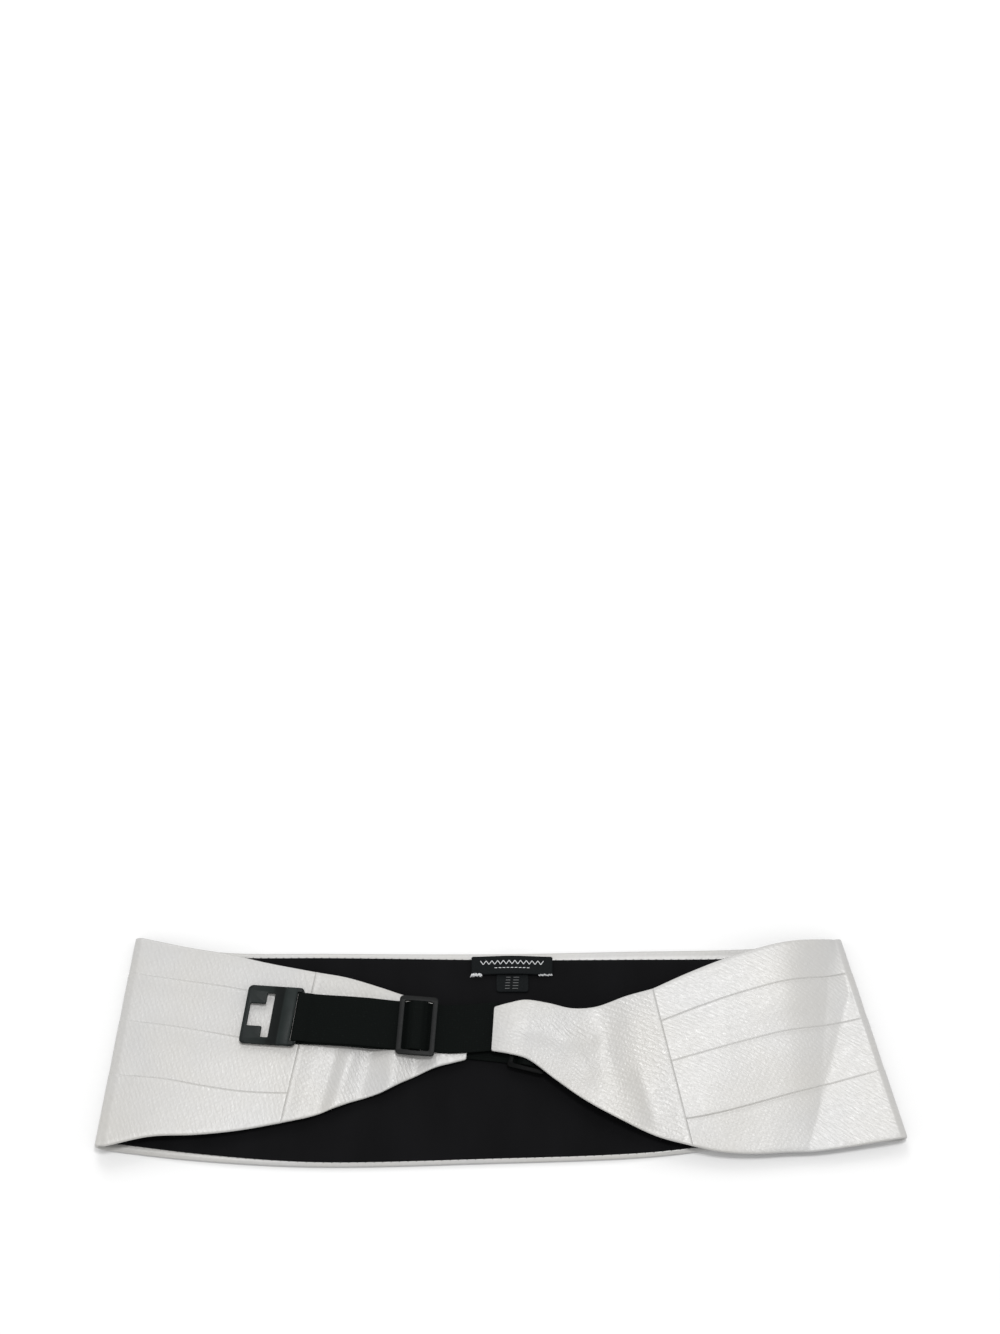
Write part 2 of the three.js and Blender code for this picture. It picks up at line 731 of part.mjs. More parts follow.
function labels() {
  const base = backFace + gap;
  const topY = 0.456 * bandWidth - labelInset;
  return [
    labelMesh("label", labelX, topY, labelLength, labelWidth, labelArch, base),
    labelMesh("care_label", careX, topY - careDrop, careLength, careWidth, 0, base),
  ];
}

function cummerbund() {
  const band = bandLines();
  const leftEnd = endLines(band[0], leftEndRows, leftTip, leftLevel);
  const rightEnd = endLines(band[band.length - 1], rightEndRows, rightTip, rightLevel);
  const claspLine = strapLine(rightTip, claspStrapRun, claspBase);
  const hookLine = strapLine(leftTip, hookStrapRun, hookBase);
  const group = new THREE.Group();
  group.add(
    pleatedCloth(band),
    lining(band),
    endPanel("left_end_panel", leftEnd, -1),
    endPanel("right_end_panel", rightEnd, 1),
    strap(
      "clasp_strap",
      claspLine,
      strapPath(claspSlider, claspReach),
      claspSkew,
      claspSlider + sliderLength / 2,
      claspReach - fittingRise,
    ),
    slider("clasp_slider", claspLine, claspSlider),
    clasp(claspLine),
    strap("hook_strap", hookLine, strapPath(hookSlider, hookReach), 0, hookSlider, hookReach),
    slider("hook_slider", hookLine, hookSlider),
    hook(hookLine),
    ...labels(),
  );
  const box = new THREE.Box3().setFromObject(group, true);
  group.position.set(-(box.min.x + box.max.x) / 2, -(box.min.y + box.max.y) / 2, -box.min.z);
  return group;
}

export default cummerbund();
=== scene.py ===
# A pleated white cummerbund with a black lining, laid down on its face with both ends folded over
# the middle. This file makes its woven cloth, elastic straps, moulded fittings, labels and stitches
# round the fixed frame, and a pale studio stage. Shapes are worked out in millimetres.
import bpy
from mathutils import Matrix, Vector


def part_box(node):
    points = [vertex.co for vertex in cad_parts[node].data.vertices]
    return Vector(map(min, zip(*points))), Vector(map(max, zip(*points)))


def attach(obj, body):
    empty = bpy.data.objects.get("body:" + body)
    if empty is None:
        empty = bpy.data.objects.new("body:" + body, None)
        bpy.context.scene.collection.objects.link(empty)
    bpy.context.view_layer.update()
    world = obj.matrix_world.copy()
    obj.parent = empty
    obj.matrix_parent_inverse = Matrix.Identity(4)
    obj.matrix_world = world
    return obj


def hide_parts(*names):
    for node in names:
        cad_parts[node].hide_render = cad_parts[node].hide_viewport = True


bl_info = {
    "name": "Pleated Cummerbund",
    "version": (1, 0, 0),
    "blender": (4, 5, 0),
    "location": "3D View > Sidebar > Cummerbund",
    "description": "Makes a folded pleated cummerbund with its straps, fittings, labels and stage",
    "category": "Object",
}

import math
from collections import namedtuple

import bpy
import numpy as np
from bpy.props import FloatProperty, FloatVectorProperty, IntProperty, PointerProperty
from mathutils import Matrix, Vector
from mathutils.geometry import tessellate_polygon

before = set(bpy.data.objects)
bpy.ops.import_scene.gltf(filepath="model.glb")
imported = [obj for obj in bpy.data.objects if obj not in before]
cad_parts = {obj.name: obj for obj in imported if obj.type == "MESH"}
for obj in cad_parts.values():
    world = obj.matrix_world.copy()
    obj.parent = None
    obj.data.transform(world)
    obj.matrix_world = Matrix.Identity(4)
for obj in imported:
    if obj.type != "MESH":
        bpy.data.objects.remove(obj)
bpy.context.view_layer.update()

MM = 0.001
BODY = "root"

# Band sizes
BAND_WIDTH = 114
HALF_LENGTH = 200
LIP_WALL = 2.2
LINING_WALL = 1
BOTTOM_HEM_LEFT = 3.7
BOTTOM_HEM_RIGHT = 2.1
TOP_HEM_LEFT = 2.7
TOP_HEM_RIGHT = 5.2
END_WALL = 2
SEAM_GAP = -0.3
LINING_GAP = 0.4
GAP = 0.3
TIGHT_ROOM = 2
OPEN_ROOM = 11.4

# Strap and fitting sizes
STRAP_WIDTH = 25.5
STRAP_WALL = 1
SEWN_LENGTH = 4
SIDE_ROOM = 0.15
RAIL_WIDTH = 2.6
SLIDER_LENGTH = 20
SLIDER_BAR = 2.8
SLIDER_WALL = 2
MIDDLE_BAR_WIDTH = 2.4
MIDDLE_BAR_WALL = 1.2
PLATE_WALL = 2
END_BAR_WIDTH = 1.8
END_BAR_WALL = 1.6
CLASP_SLIDER = 39.5
CLASP_REACH = 100.8
HOOK_SLIDER = 33.5
HOOK_REACH = 76.5
CLASP_RIM = 2.5
MOUTH_LENGTH = 7.9
MOUTH_WIDTH = 12
CROSS_SLOT_LENGTH = 4
CROSS_SLOT_WIDTH = 23.4
CLASP_WEB = 3.9
CLASP_SLOPE = 1.4
CLASP_BAR = 6.2
BAR_RISE = 1.1
CLASP_SKEW = math.radians(5)
HOOK_FRAME = 6
HOOK_NECK_LENGTH = 9
HOOK_NECK_WIDTH = 10.6
HOOK_HEAD_LENGTH = 3.2
HOOK_HEAD_WIDTH = 22

# Roundings of the fittings, and how far parts of one fitting stand apart or reach into each other
SLIDER_ROUND = 2
WINDOW_ROUND = 0.9
BAR_ROUND = 0.6
SLOT_ROUND = 0.5
CUT_CORNER = 2.2
CLASP_ROUND = 2.5
HOOK_ROUND = 1.6
SOFT_CORNER = 0.7
OVERLAP = 0.02
SHARP_ANGLE = math.radians(38)

# The clasp's relief: how far its bar, rails and rim stand over the plate or inside its edge
PLATE_DROP = 0.25
BAR_FOOT = 0.3
BAR_SHOULDER = 0.35
BAR_INSET = 0.35
CROWN_START = 0.45
RAIL_INSET = 0.4
RAIL_START = 1.1
RAIL_FOOT = 0.6
RAIL_RISE = 0.7
RIM_OUTER = 0.55
RIM_INNER = 1.15
RIM_RISE = 0.12
RIM_EDGE = 0.2
FREE_EDGE_POINTS = 14

# Painted light and shade along the clasp, as pairs of distance and tone: the raised bar painted lighter,
# the end bar and the web past the bar painted darker
CLASP_PAINTED_SHADING = (
    (0, 0.55), (2.6, 0.8), (3.4, 1.35), (8.6, 1.15), (9.6, 0.38), (14, 0.42), (15.5, 0.9), (27, 1.0),
)

# Label sizes
LABEL_LENGTH = 42.4
LABEL_WIDTH = 9.8
LABEL_ARCH = 2
CARE_LENGTH = 16.6
CARE_WIDTH = 10
LABEL_X = 7.3
LABEL_INSET = 2.2
CARE_X = 7.5
CARE_DROP = 9
BACK_TOP = 0.456
LABEL_LIFT = 0.3
CARE_CORNER = 1.2
CARE_WAVE = 0.06

# Cloth walls, their rounded edges and the hem's swelling, which runs from just inside the edge
CLOTH_WALL = 1.8
EDGE_RADIUS = 0.9
END_CLOTH_WALL = 1.7
END_EDGE_RADIUS = 0.85
END_LIFT = 0.15
TIP_CORNER = 0.9
BACK_PLEAT_STEP = 0.16
BACK_GROOVE_SHARE = 0.3
PUFF_START = 0.6
TOP_PUFF = 5
BOTTOM_PUFF = 3.2
HEM_COLUMNS = (1.3, 1.8, 2.4, 3.0, 3.6, 4.3, 5.0, 6.0)

# The lining's turned border, as distance and height from its hem, and its plain and hidden faces
LINING_BORDER = ((0.05, -0.32), (0.0, -0.6), (0.12, -0.85), (0.4, -1.0), (0.9, -1.05))
LINING_FACE = -1.08
LINING_BACK = -0.3

# The ridge that the seam makes in an end panel: height, distance from the panel's edge, and width
SEAM_RIDGE = 0.3
SEAM_RIDGE_AT = 1.0
SEAM_RIDGE_WIDTH = 0.6

# The groove where a pleat is folded over the next: distance past the fold line, how much of the step
# up to the lip is reached, and depth below that
GROOVE = (
    (-0.8, 0, 0), (-0.45, 0, 0.03), (-0.26, 0, 0.12), (-0.13, 0, 0.26), (0.0, 0.1, 0.36),
    (0.1, 0.35, 0.3), (0.18, 0.65, 0.18), (0.3, 0.9, 0.06), (0.5, 1.15, 0), (0.9, 1, 0),
)

# Stitches: the thread's radius and how high it arches, as a share of its length
TACK = (0.14, 0.3)
MARK = (0.17, 0.1)
CARE_MARK = (0.16, 0.03)
HEM_STITCH = (0.11, 0.35)
HEM_STITCH_LENGTH = 1.1
HEM_STITCH_PITCH = 4.2
HEM_STITCH_SLANT = 0.6
HEM_STITCH_HEIGHT = -0.55

# Tacks at both ends of the label: middle and span along it, and their mean length
TACKS = ((-18.6, 5.4, 1.7), (17.4, 6.8, 0.9))
TACK_COUNT = 16

# Plain marks woven into the label: how many, where the first is along it, the distance between two,
# how far they are below the top edge, how far they turn, and their length
Marks = namedtuple("Marks", "count first pitch drop turn length")
LABEL_MARKS = (Marks(22, -15.75, 1.5, 3.5, 54, 2.4), Marks(9, -8.4, 2.1, 6.4, 0, 1.3))

# Plain marks on the care label: rows, their first drop, pitch and slant, and each mark's start and length
CARE_ROWS = 5
CARE_ROW_DROP = 2
CARE_ROW_PITCH = 1.5
CARE_ROW_SLANT = 0.15
CARE_ROW_MARKS = ((-3.3, 2.4), (0.6, 2.9))

# Waves over the cloth: seed, size and length
WING_RIPPLES = (11, 0.35, 60)
LINING_RIPPLES = (5, 0.25, 45)

# Heights that follow from what lies on what
STRAP_STACK = STRAP_WALL + 2 * GAP
TIGHT_RADIUS = TIGHT_ROOM / 2 + LINING_GAP + LINING_WALL
OPEN_RADIUS = OPEN_ROOM / 2 + LINING_GAP + LINING_WALL
OPEN_RISE = 2 * OPEN_RADIUS
SETTLED_LEFT = 3.0
SETTLED_RIGHT = 4.7
BACK_FACE = LIP_WALL + LINING_GAP + LINING_WALL
HOOK_BASE = BACK_FACE + GAP
LEFT_LEVEL = HOOK_BASE + STRAP_STACK
CLASP_BASE = LEFT_LEVEL + END_WALL + GAP
RIGHT_LEVEL = CLASP_BASE + STRAP_STACK

# Strap heights over the surface that a strap lies on, to the middle of the strap
BEND = (GAP + STRAP_WALL / 2) / math.cos(math.radians(15))
LOWER_RUN = GAP + STRAP_WALL / 2
UPPER_RUN = LOWER_RUN + STRAP_WALL + GAP
BAR_BASE = UPPER_RUN + BEND
UNDER_MIDDLE_BAR = BAR_BASE - BEND
OVER_MIDDLE_BAR = BAR_BASE + MIDDLE_BAR_WALL + BEND
OVER_STRAP_END = OVER_MIDDLE_BAR + STRAP_WALL + GAP
END_BAR_BASE = LOWER_RUN + BEND
OVER_END_BAR = END_BAR_BASE + END_BAR_WALL + BEND
HARDWARE_WIDTH = STRAP_WIDTH + 2 * SIDE_ROOM + 2 * RAIL_WIDTH
OPENING = STRAP_WIDTH / 2 + SIDE_ROOM
SLOT_END = END_BAR_WIDTH / 2 + BEND + STRAP_WALL / 2 + GAP

# How a strap lies at the bars
BAR_ROOM = 0.6
CLIMB_START = 2.5
CLIMB_LEVEL = 0.9
CROWN_HALF = 0.8
CROWN_DROP = 0.25
SLIDER_DIP = 5
SLIDER_LEAVE = 6
FITTING_RISE = 9
FITTING_LEVEL = 4
SOFT_STEP = 0.2
CLASP_DRIFT = 0.9
HOOK_DRIFT = 0.5
DRIFT_REACH = 12
STRAP_STEPS = 6
WALK_STEP = 0.5
WALK_PICK = 12

# Each row is a line across the band, from its top edge to its bottom edge: x as shares of half the
# folded length, y as shares of the band's width, rises as shares of the open fold's height
Row = namedtuple("Row", "top_x top_y bottom_x bottom_y top_rise bottom_rise", defaults=(0, 0))
BACK_ROWS = [
    Row(-0.928, 0.516, -0.999, -0.455),
    Row(-0.72, 0.464, -0.775, -0.499),
    Row(-0.45, 0.458, -0.475, -0.528),
    Row(-0.02, BACK_TOP, -0.02, -0.512),
    Row(0.35, 0.468, 0.375, -0.485),
    Row(0.63, 0.478, 0.7, -0.425),
    Row(0.878, 0.508, 1.026, -0.414),
]
LEFT_WING_ROWS = [
    Row(-0.81, 0.473, -0.885, -0.41, 0.08, 0.31),
    Row(-0.705, 0.442, -0.775, -0.4, 0.07, 0.24),
    Row(-0.6, 0.4, -0.67, -0.38, 0.05, 0.16),
    Row(-0.473, 0.357, -0.555, -0.343, 0.04, 0.08),
]
LEFT_END_ROWS = [
    Row(-0.392, 0.332, -0.475, -0.311, 0.02, 0.05),
    Row(-0.3, 0.283, -0.37, -0.243, 0.01, 0.08),
    Row(-0.25, 0.253, -0.3, -0.204, 0.01, 0.05),
    Row(-0.2, 0.23, -0.24, -0.15, 0, 0.02),
    Row(-0.14, 0.2, -0.16, -0.088, 0, 0.03),
]
RIGHT_WING_ROWS = [
    Row(0.865, 0.508, 0.815, -0.468, -0.13, -0.2),
    Row(0.75, 0.489, 0.74, -0.473, 0.11, -0.25),
    Row(0.61, 0.422, 0.64, -0.481, 0.11, -0.22),
    Row(0.5, 0.349, 0.56, -0.472, 0.07, -0.14),
    Row(0.4, 0.27, 0.495, -0.45, 0.05, -0.06),
]
RIGHT_END_ROWS = [
    Row(0.33, 0.233, 0.4, -0.406, 0.11, 0.03),
    Row(0.25, 0.178, 0.3, -0.325, 0.26, 0.18),
    Row(0.19, 0.174, 0.22, -0.246, 0.21, 0.19),
    Row(0.13, 0.2, 0.145, -0.151, 0.15, 0.15),
    Row(0.07, 0.216, 0.075, -0.059, 0.12, 0.12),
    Row(0.03, 0.203, 0.03, -0.035, 0.09, 0.09),
]
Tip = namedtuple("Tip", "x y width lean strap_y")
LEFT_TIP = Tip(-0.077, 0.063, 0.226, 1, 0.07)
RIGHT_TIP = Tip(-0.012, 0.083, 0.205, 0.8, 0.1)

# Where the three pleat lines cross the band, as shares of its width
BACK_MARKS = (0.175, 0.402, 0.663)
LEFT_SEAM_MARKS = (0.186, 0.48, 0.805)
RIGHT_SEAM_MARKS = (0.21, 0.465, 0.83)

# How deep the groove at each pleat line is, from the folded edge to the seam, for the three lines
LEFT_GROOVES = ((0.25, 0.4, 0.6), (0.25, 0.4, 0.5), (0.3, 0.5, 0.6))
RIGHT_GROOVES = ((1.0, 0.4, 0.7), (0.7, 0.3, 0.5), (0.4, 0.75, 1.0))

# Headings of the straps and their rise, by the distance from the strap's tip
Run = namedtuple("Run", "at heading rise")
CLASP_STRAP_RUN = [
    Run(0, 185.5, 0), Run(20, 183.5, 0.01), Run(26, 176.1, 0.01), Run(50, 175.4, 0.04),
    Run(66, 175.3, 0.2), Run(77, 175.6, 0.25), Run(88, 176, 0.16), Run(98, 176.2, 0.08),
    Run(132, 176.2, 0.14),
]
HOOK_STRAP_RUN = [Run(0, -6, 0), Run(12, -6, 0), Run(24, -10, 0), Run(42, -17, 0), Run(120, -17, 0)]

# Soft folds in the folded-over wings: a ridge or, with a negative lift, a trough along a line on the
# plan, in millimetres, with how far it reaches to its left and to its right as one looks along it
# from its first end.
Fold = namedtuple("Fold", "from_x from_y to_x to_y left_width right_width lift")
LEFT_FOLDS = [
    Fold(-94, 6, -105, -34, 5, 10, 0.4),
    Fold(-85, -4, -92, -32, 3, 3, -0.6),
    Fold(-78, -2, -88, -34, 4, 5, 0.9),
    Fold(-67, 2, -72, -24, 6, 6, -1.4),
    Fold(-55, 0, -57, -22, 5, 5, 1.2),
    Fold(-43, 2, -45, -18, 5, 4, -1.0),
    Fold(-31, 0, -34, -10, 4, 4, 0.7),
    Fold(-60, 12, -110, 16, 9, 9, -0.6),
]
RIGHT_FOLDS = [
    Fold(122, 50, 110, -24, 24, 14, 0.5),
    Fold(66, 28, 52, 2, 7, 7, 0.2),
    Fold(52, 2, 68, -34, 6, 7, 0.2),
    Fold(14, 10, 46, 4, 6, 5, -0.6),
    Fold(34, 2, 44, -12, 6, 6, -0.6),
    Fold(72, -14, 78, -36, 4, 4, -0.4),
    Fold(-2, 22, -2, 0, 5, 6, 0.4),
    Fold(156, 60, 152, 38, 20, 22, 1.1),
]

# The crease of the right wing, from the top of its folded edge to its bottom edge: how far the cloth
# dips there, how far to the left that reaches, and where the folded edge itself runs
Crease = namedtuple("Crease", "line dip reach edge")
RIGHT_CREASE = Crease((186, 48, 156, -54), 1.3, 24, (177, 58, 205, -49))
CREASE_CURVE = 2.3

# How far the ribs of the twill are turned from straight across the band, in degrees
WING_GRAIN = 38
LEFT_END_GRAIN = 40
RIGHT_END_GRAIN = 58

# White cloths: name, least and most roughness, and how strongly its relief shows
PLEATED_TWILL = ("white_twill", (0.32, 0.45), 0.33)
END_SATIN = ("white_satin", (0.3, 0.45), 0.6)
HEM_THREAD_COLOUR = (0.012, 0.012, 0.013)
GREY_SHARE = 0.22
# How dark the hook's slider is painted against the clasp's: painted shade, for the shadow it lies in
SHADED_SLIDER_SHARE = 0.4

# How finely the cloth is divided
BACK_STEPS = 22
FOLD_STEPS = 30
WING_STEPS = 15
END_STEPS = 14
END_FRACTIONS = (0.04, 0.12, 0.25, 0.45)
END_PINCH = (0.12, 0.55, 0.82, 0.95, 1.0)

# Lamps: place, size and the setting that gives their power, with its share
LAMPS = {
    "key_light": ((-0.4, 2.15, 2.05), 1.5, "key_power", 1),
    "satin_light": ((0.17, 0.22, 2.2), 0.4, "satin_power", 1),
    "left_fill": ((-1.7, -0.1, 0.55), 1.0, "fill_power", 1.5),
    "right_fill": ((1.7, -0.1, 0.55), 1.0, "fill_power", 1),
}
FLOOR_HEIGHT = -0.0002

# The camera: lens and sensor in millimetres, place in metres, and tilt from straight down in degrees
LENS = 77.72
SENSOR = 36
CAMERA_PLACE = (-0.00052, -0.36288, 1.46044)
CAMERA_TILT = 21.634


def plan_shift():
    """From the tables' origin to the frame's: the care label has a plain place in both."""
    low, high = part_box("care_label")
    top = BACK_TOP * BAND_WIDTH - LABEL_INSET - CARE_DROP
    middle = (np.array(low) + np.array(high)) / 2 / MM
    return np.array([middle[0] - CARE_X, middle[1] - (top - CARE_WIDTH / 2), 0.0])


SHIFT = plan_shift()


# Settings


def size_setting(name, description, default):
    """A length, with its default in millimetres."""
    return FloatProperty(name=name, description=description, default=default * MM, unit="LENGTH")


def colour_setting(name, description, default):
    return FloatVectorProperty(name=name, description=description, default=default, subtype="COLOR")


def power_setting(name, description, default):
    return FloatProperty(name=name, description=description, default=default, unit="POWER")


class BandSettings(bpy.types.PropertyGroup):
    relief: FloatProperty(
        name="Soft relief", description="Strength of the soft folds", default=1, min=0, max=3)
    pleat_step: size_setting("Pleat step", "How far each pleat stands over the one above it", 0.42)
    hem_puff: size_setting("Hem puff", "How far the turned hem swells", 0.3)
    rib_pitch: size_setting("Twill pitch", "Distance between the ribs of the twill", 2.4)
    cloth_colour: colour_setting("Cloth", "Colour of the white twill", (0.356, 0.351, 0.341))
    lining_colour: colour_setting("Lining", "Colour of the lining", (0.0036, 0.0036, 0.0040))


class StrapSettings(bpy.types.PropertyGroup):
    wall: size_setting("Thickness", "Thickness of the elastic", 0.92)
    rib_pitch: size_setting("Cord pitch", "Distance between the rubber cords", 1.05)
    colour: colour_setting("Elastic", "Colour of the elastic", (0.0026, 0.0034, 0.0031))


class FittingSettings(bpy.types.PropertyGroup):
    edge: size_setting("Edge round", "Radius of moulded edges", 0.34)
    clasp_colour: colour_setting("Clasp", "Colour of the clasp and hook", (0.0080, 0.0108, 0.0104))
    slider_colour: colour_setting("Sliders", "Colour of the sliders", (0.0042, 0.0047, 0.0047))


class LabelSettings(bpy.types.PropertyGroup):
    wall: size_setting("Thickness", "Thickness of the ribbon", 0.45)
    ribbon_colour: colour_setting("Ribbon", "Colour of the label ribbon", (0.0032, 0.0040, 0.0044))
    thread_colour: colour_setting("Thread", "Colour of the pale thread", (0.62, 0.63, 0.64))


class StageSettings(bpy.types.PropertyGroup):
    floor_colour: colour_setting("Floor", "Colour of the floor", (0.66, 0.66, 0.66))
    key_power: power_setting("Key light", "Power of the key light", 24)
    satin_power: power_setting("Satin light", "Power of the small lamp that the satin reflects", 23)
    fill_power: power_setting("Side lights", "Power of the low lights at both sides", 4)
    sky_strength: FloatProperty(name="Sky", description="Strength of the light all round", default=0.86)
    floor_size: IntProperty(name="Floor size", description="Side of the floor in metres", default=12)


# Curves and surfaces


def smooth_points(points, shares):
    """Points at shares, 0 to 1, of a smooth centripetal curve through the given points."""
    before, after = 2 * points[0] - points[1], 2 * points[-1] - points[-2]
    padded = np.vstack([before, points, after])
    spot = np.asarray(shares) * (len(points) - 1)
    left = np.minimum(spot.astype(int), len(points) - 2)
    w = (spot - left)[:, None]
    a, b, c, d = (padded[left + k] for k in range(4))
    pairs = ((a, b), (b, c), (c, d))
    ab, bc, cd = (np.sqrt(np.linalg.norm(q - p, axis=1))[:, None] + 1e-9 for p, q in pairs)
    start = ((b - a) / ab - (c - a) / (ab + bc) + (c - b) / bc) * bc
    end = ((c - b) / bc - (d - b) / (bc + cd) + (d - c) / cd) * bc
    square, cube = 3 * (c - b) - 2 * start - end, 2 * (b - c) + start + end
    return b + w * start + w**2 * square + w**3 * cube


def smoothstep(value, low, high):
    share = np.clip((value - low) / (high - low), 0, 1)
    return share * share * (3 - 2 * share)


def unit(vectors):
    return vectors / np.linalg.norm(vectors, axis=-1, keepdims=True)


def arc(x, y, radius, start, stop, steps):
    """Points round a centre, from one angle to another in degrees."""
    turns = np.radians(np.linspace(start, stop, steps + 1))
    return [(x + radius * math.cos(a), y + radius * math.sin(a)) for a in turns]


def place_rows(rows, level):
    """The rows' lines as an array: top edge and bottom edge, row, coordinate."""
    top = [(r.top_x, r.top_y, r.top_rise) for r in rows]
    bottom = [(r.bottom_x, r.bottom_y, r.bottom_rise) for r in rows]
    return np.array([top, bottom]) * (HALF_LENGTH, BAND_WIDTH, OPEN_RISE) + (0, 0, level) + SHIFT


def smooth_lines(lines, steps_between):
    shares = np.linspace(0, 1, (lines.shape[1] - 1) * steps_between + 1)
    return np.array([smooth_points(edge, shares) for edge in lines])


def fold_lines(line, outwards, settled):
    """The folded edge: half a turn about the line, close at the top edge and open at the bottom,
    where the cloth has settled a little."""
    along = line[1] - line[0]
    out = unit(np.array([-along[1], along[0], 0.0])) * outwards
    angle = np.linspace(0, math.pi, FOLD_STEPS + 1)[:, None]
    upright = np.array([0.0, 0.0, 1.0])
    return np.array([
        point + radius * (np.sin(angle) * out + (1 - np.cos(angle)) * upright)
        for point, radius in zip(line, (TIGHT_RADIUS, OPEN_RADIUS - settled))
    ])


Band = namedtuple("Band", "lines marks side nearness")


def band():
    """The pleated band's lines from the left seam round both folds to the right seam, the shares at
    which its pleats lie, and for each line which wing it is on and how far it is from the fold."""
    back = smooth_lines(place_rows(BACK_ROWS, LIP_WALL), BACK_STEPS)
    left_fold = fold_lines(back[:, 0], -1, SETTLED_LEFT)
    right_fold = fold_lines(back[:, -1], 1, SETTLED_RIGHT)
    left_wing, right_wing = (
        smooth_lines(np.concatenate([fold[:, -1:], place_rows(rows, level)], axis=1), WING_STEPS)
        for fold, rows, level in (
            (left_fold, LEFT_WING_ROWS, LEFT_LEVEL), (right_fold, RIGHT_WING_ROWS, RIGHT_LEVEL)))
    lines = np.concatenate(
        [left_wing[:, :0:-1], left_fold[:, :0:-1], back, right_fold[:, 1:], right_wing[:, 1:]], axis=1)
    left_share = np.linspace(1, 0, left_wing.shape[1])[:-1]
    right_share = np.linspace(0, 1, right_wing.shape[1])[1:]
    flat = np.zeros(lines.shape[1] - len(left_share) - len(right_share))
    nearness = np.concatenate([left_share, flat, right_share])
    side = np.concatenate([-np.ones_like(left_share), flat, np.ones_like(right_share)])
    seam = np.where(side[:, None] < 0, LEFT_SEAM_MARKS, RIGHT_SEAM_MARKS)
    marks = BACK_MARKS + (seam - BACK_MARKS) * nearness[:, None]
    return Band(lines, marks, side, nearness)


def end_panel_lines(seam_line, rows, tip, level):
    """An end panel's lines from just past its seam to its tip."""
    half = tip.width * BAND_WIDTH / 2
    x, y = tip.x * HALF_LENGTH, tip.y * BAND_WIDTH
    tip_line = np.array([[(x + tip.lean, y + half, level)], [(x - tip.lean, y - half, level)]]) + SHIFT
    stations = np.concatenate([seam_line[:, None], place_rows(rows, level), tip_line], axis=1)
    lines = smooth_lines(stations, END_STEPS)
    lines[:, 0] += unit(lines[:, 1] - lines[:, 0]) * SEAM_GAP
    return lines


def with_close_ends(values, fractions=END_FRACTIONS):
    """Adds lines close to both ends, at the given fractions of the outermost stretches."""
    first, last = values[..., :1, :], values[..., -1:, :]
    early = [first + (values[..., 1:2, :] - first) * f for f in fractions]
    late = [last + (values[..., -2:-1, :] - last) * f for f in fractions[::-1]]
    return np.concatenate([first, *early, values[..., 1:-1, :], *late, last], axis=-2)


def pinch(count):
    """How much of its height a sheet keeps near its two cut ends, where its edge is rounded."""
    kept = np.ones(count)
    kept[: len(END_PINCH)] = END_PINCH
    kept[-len(END_PINCH):] = END_PINCH[::-1]
    return kept[:, None]


def across(lines, shares):
    """Points at shares of the way from the top edge to the bottom edge, on each line."""
    top, bottom = lines[0][:, None], lines[1][:, None]
    return top + (bottom - top) * shares[..., None]


def on_surface(lines, shares, heights):
    """Points at shares of each line and at heights over it, with the directions that face out."""
    padded = np.concatenate([lines[:, :1], lines, lines[:, -1:]], axis=1)
    ahead = across(padded[:, 2:] - padded[:, :-2], shares)
    out = unit(np.cross(ahead, (lines[1] - lines[0])[:, None]))
    return across(lines, shares) + out * heights[..., None], out


def beside(points, from_x, from_y, to_x, to_y):
    """How far points on the plan are to the right of a line and along it, and the line's length."""
    start = np.array([from_x, from_y])
    run = np.array([to_x, to_y]) - start
    length = np.linalg.norm(run)
    away = points[..., :2] - start
    return (away[..., 0] * run[1] - away[..., 1] * run[0]) / length, away @ run / length, length


def fold_relief(folds, points):
    """How far soft folds lift a surface at points on the plan."""
    lift = np.zeros(points.shape[:-1])
    for fold in folds:
        aside, along, length = beside(points, *fold[:4])
        aside = aside / np.where(aside > 0, fold.right_width, fold.left_width)
        beyond = np.maximum(0, np.maximum(-along, along - length)) / fold.right_width
        lift += fold.lift * np.exp(-(aside**2)) * np.exp(-(beyond**2))
    return lift


def crease_dip(crease, points):
    """How far the right wing lies lower about its crease: curving down to it from the left, and a
    flat facet from it to the folded edge."""
    west, along, length = beside(points, *crease.line)
    from_edge = np.maximum(beside(points, *crease.edge)[0], 0)
    curve = np.clip(1 - west / crease.reach, 0, 1) ** CREASE_CURVE
    facet = from_edge / np.maximum(from_edge + np.maximum(-west, 0), 1e-6)
    return -crease.dip * np.where(west > 0, curve, facet) * smoothstep(along / length, -0.02, 0.5)


def ripples(points, seed, size, length, count=7):
    """Gentle irregular waves over the plan, from a few sines with a fixed seed."""
    draw = np.random.default_rng(seed)
    total = np.zeros(points.shape[:-1])
    for _ in range(count):
        turn, phase = draw.uniform(0, 2 * math.pi, 2)
        wave = length * draw.uniform(0.6, 1.7)
        along = points[..., 0] * math.cos(turn) + points[..., 1] * math.sin(turn)
        total += np.sin(along * 2 * math.pi / wave + phase)
    return total * size / count


def widths(lines):
    return np.linalg.norm(lines[1] - lines[0], axis=1)


def arc_lengths(lines):
    """The distance run along each edge, counted from the middle of the sheet."""
    steps = np.linalg.norm(np.diff(lines, axis=1), axis=2)
    run = np.concatenate([np.zeros((2, 1)), np.cumsum(steps, axis=1)], axis=1)
    return run - run[:, run.shape[1] // 2][:, None]


def middle_run(lines):
    """The distance run along the middle of the sheet, line by line."""
    return arc_lengths(lines).mean(axis=0)


def weave_map(lines, shares, grain):
    """Where each point lies on the flat cloth, turned so that the ribs run along the second value."""
    run = arc_lengths(lines)
    along = run[0][:, None] + (run[1] - run[0])[:, None] * shares
    down = widths(lines)[:, None] * shares
    cos, sin = math.cos(math.radians(grain)), math.sin(math.radians(grain))
    return np.stack([along * cos + down * sin, down * cos - along * sin], axis=-1) * MM


# Meshes


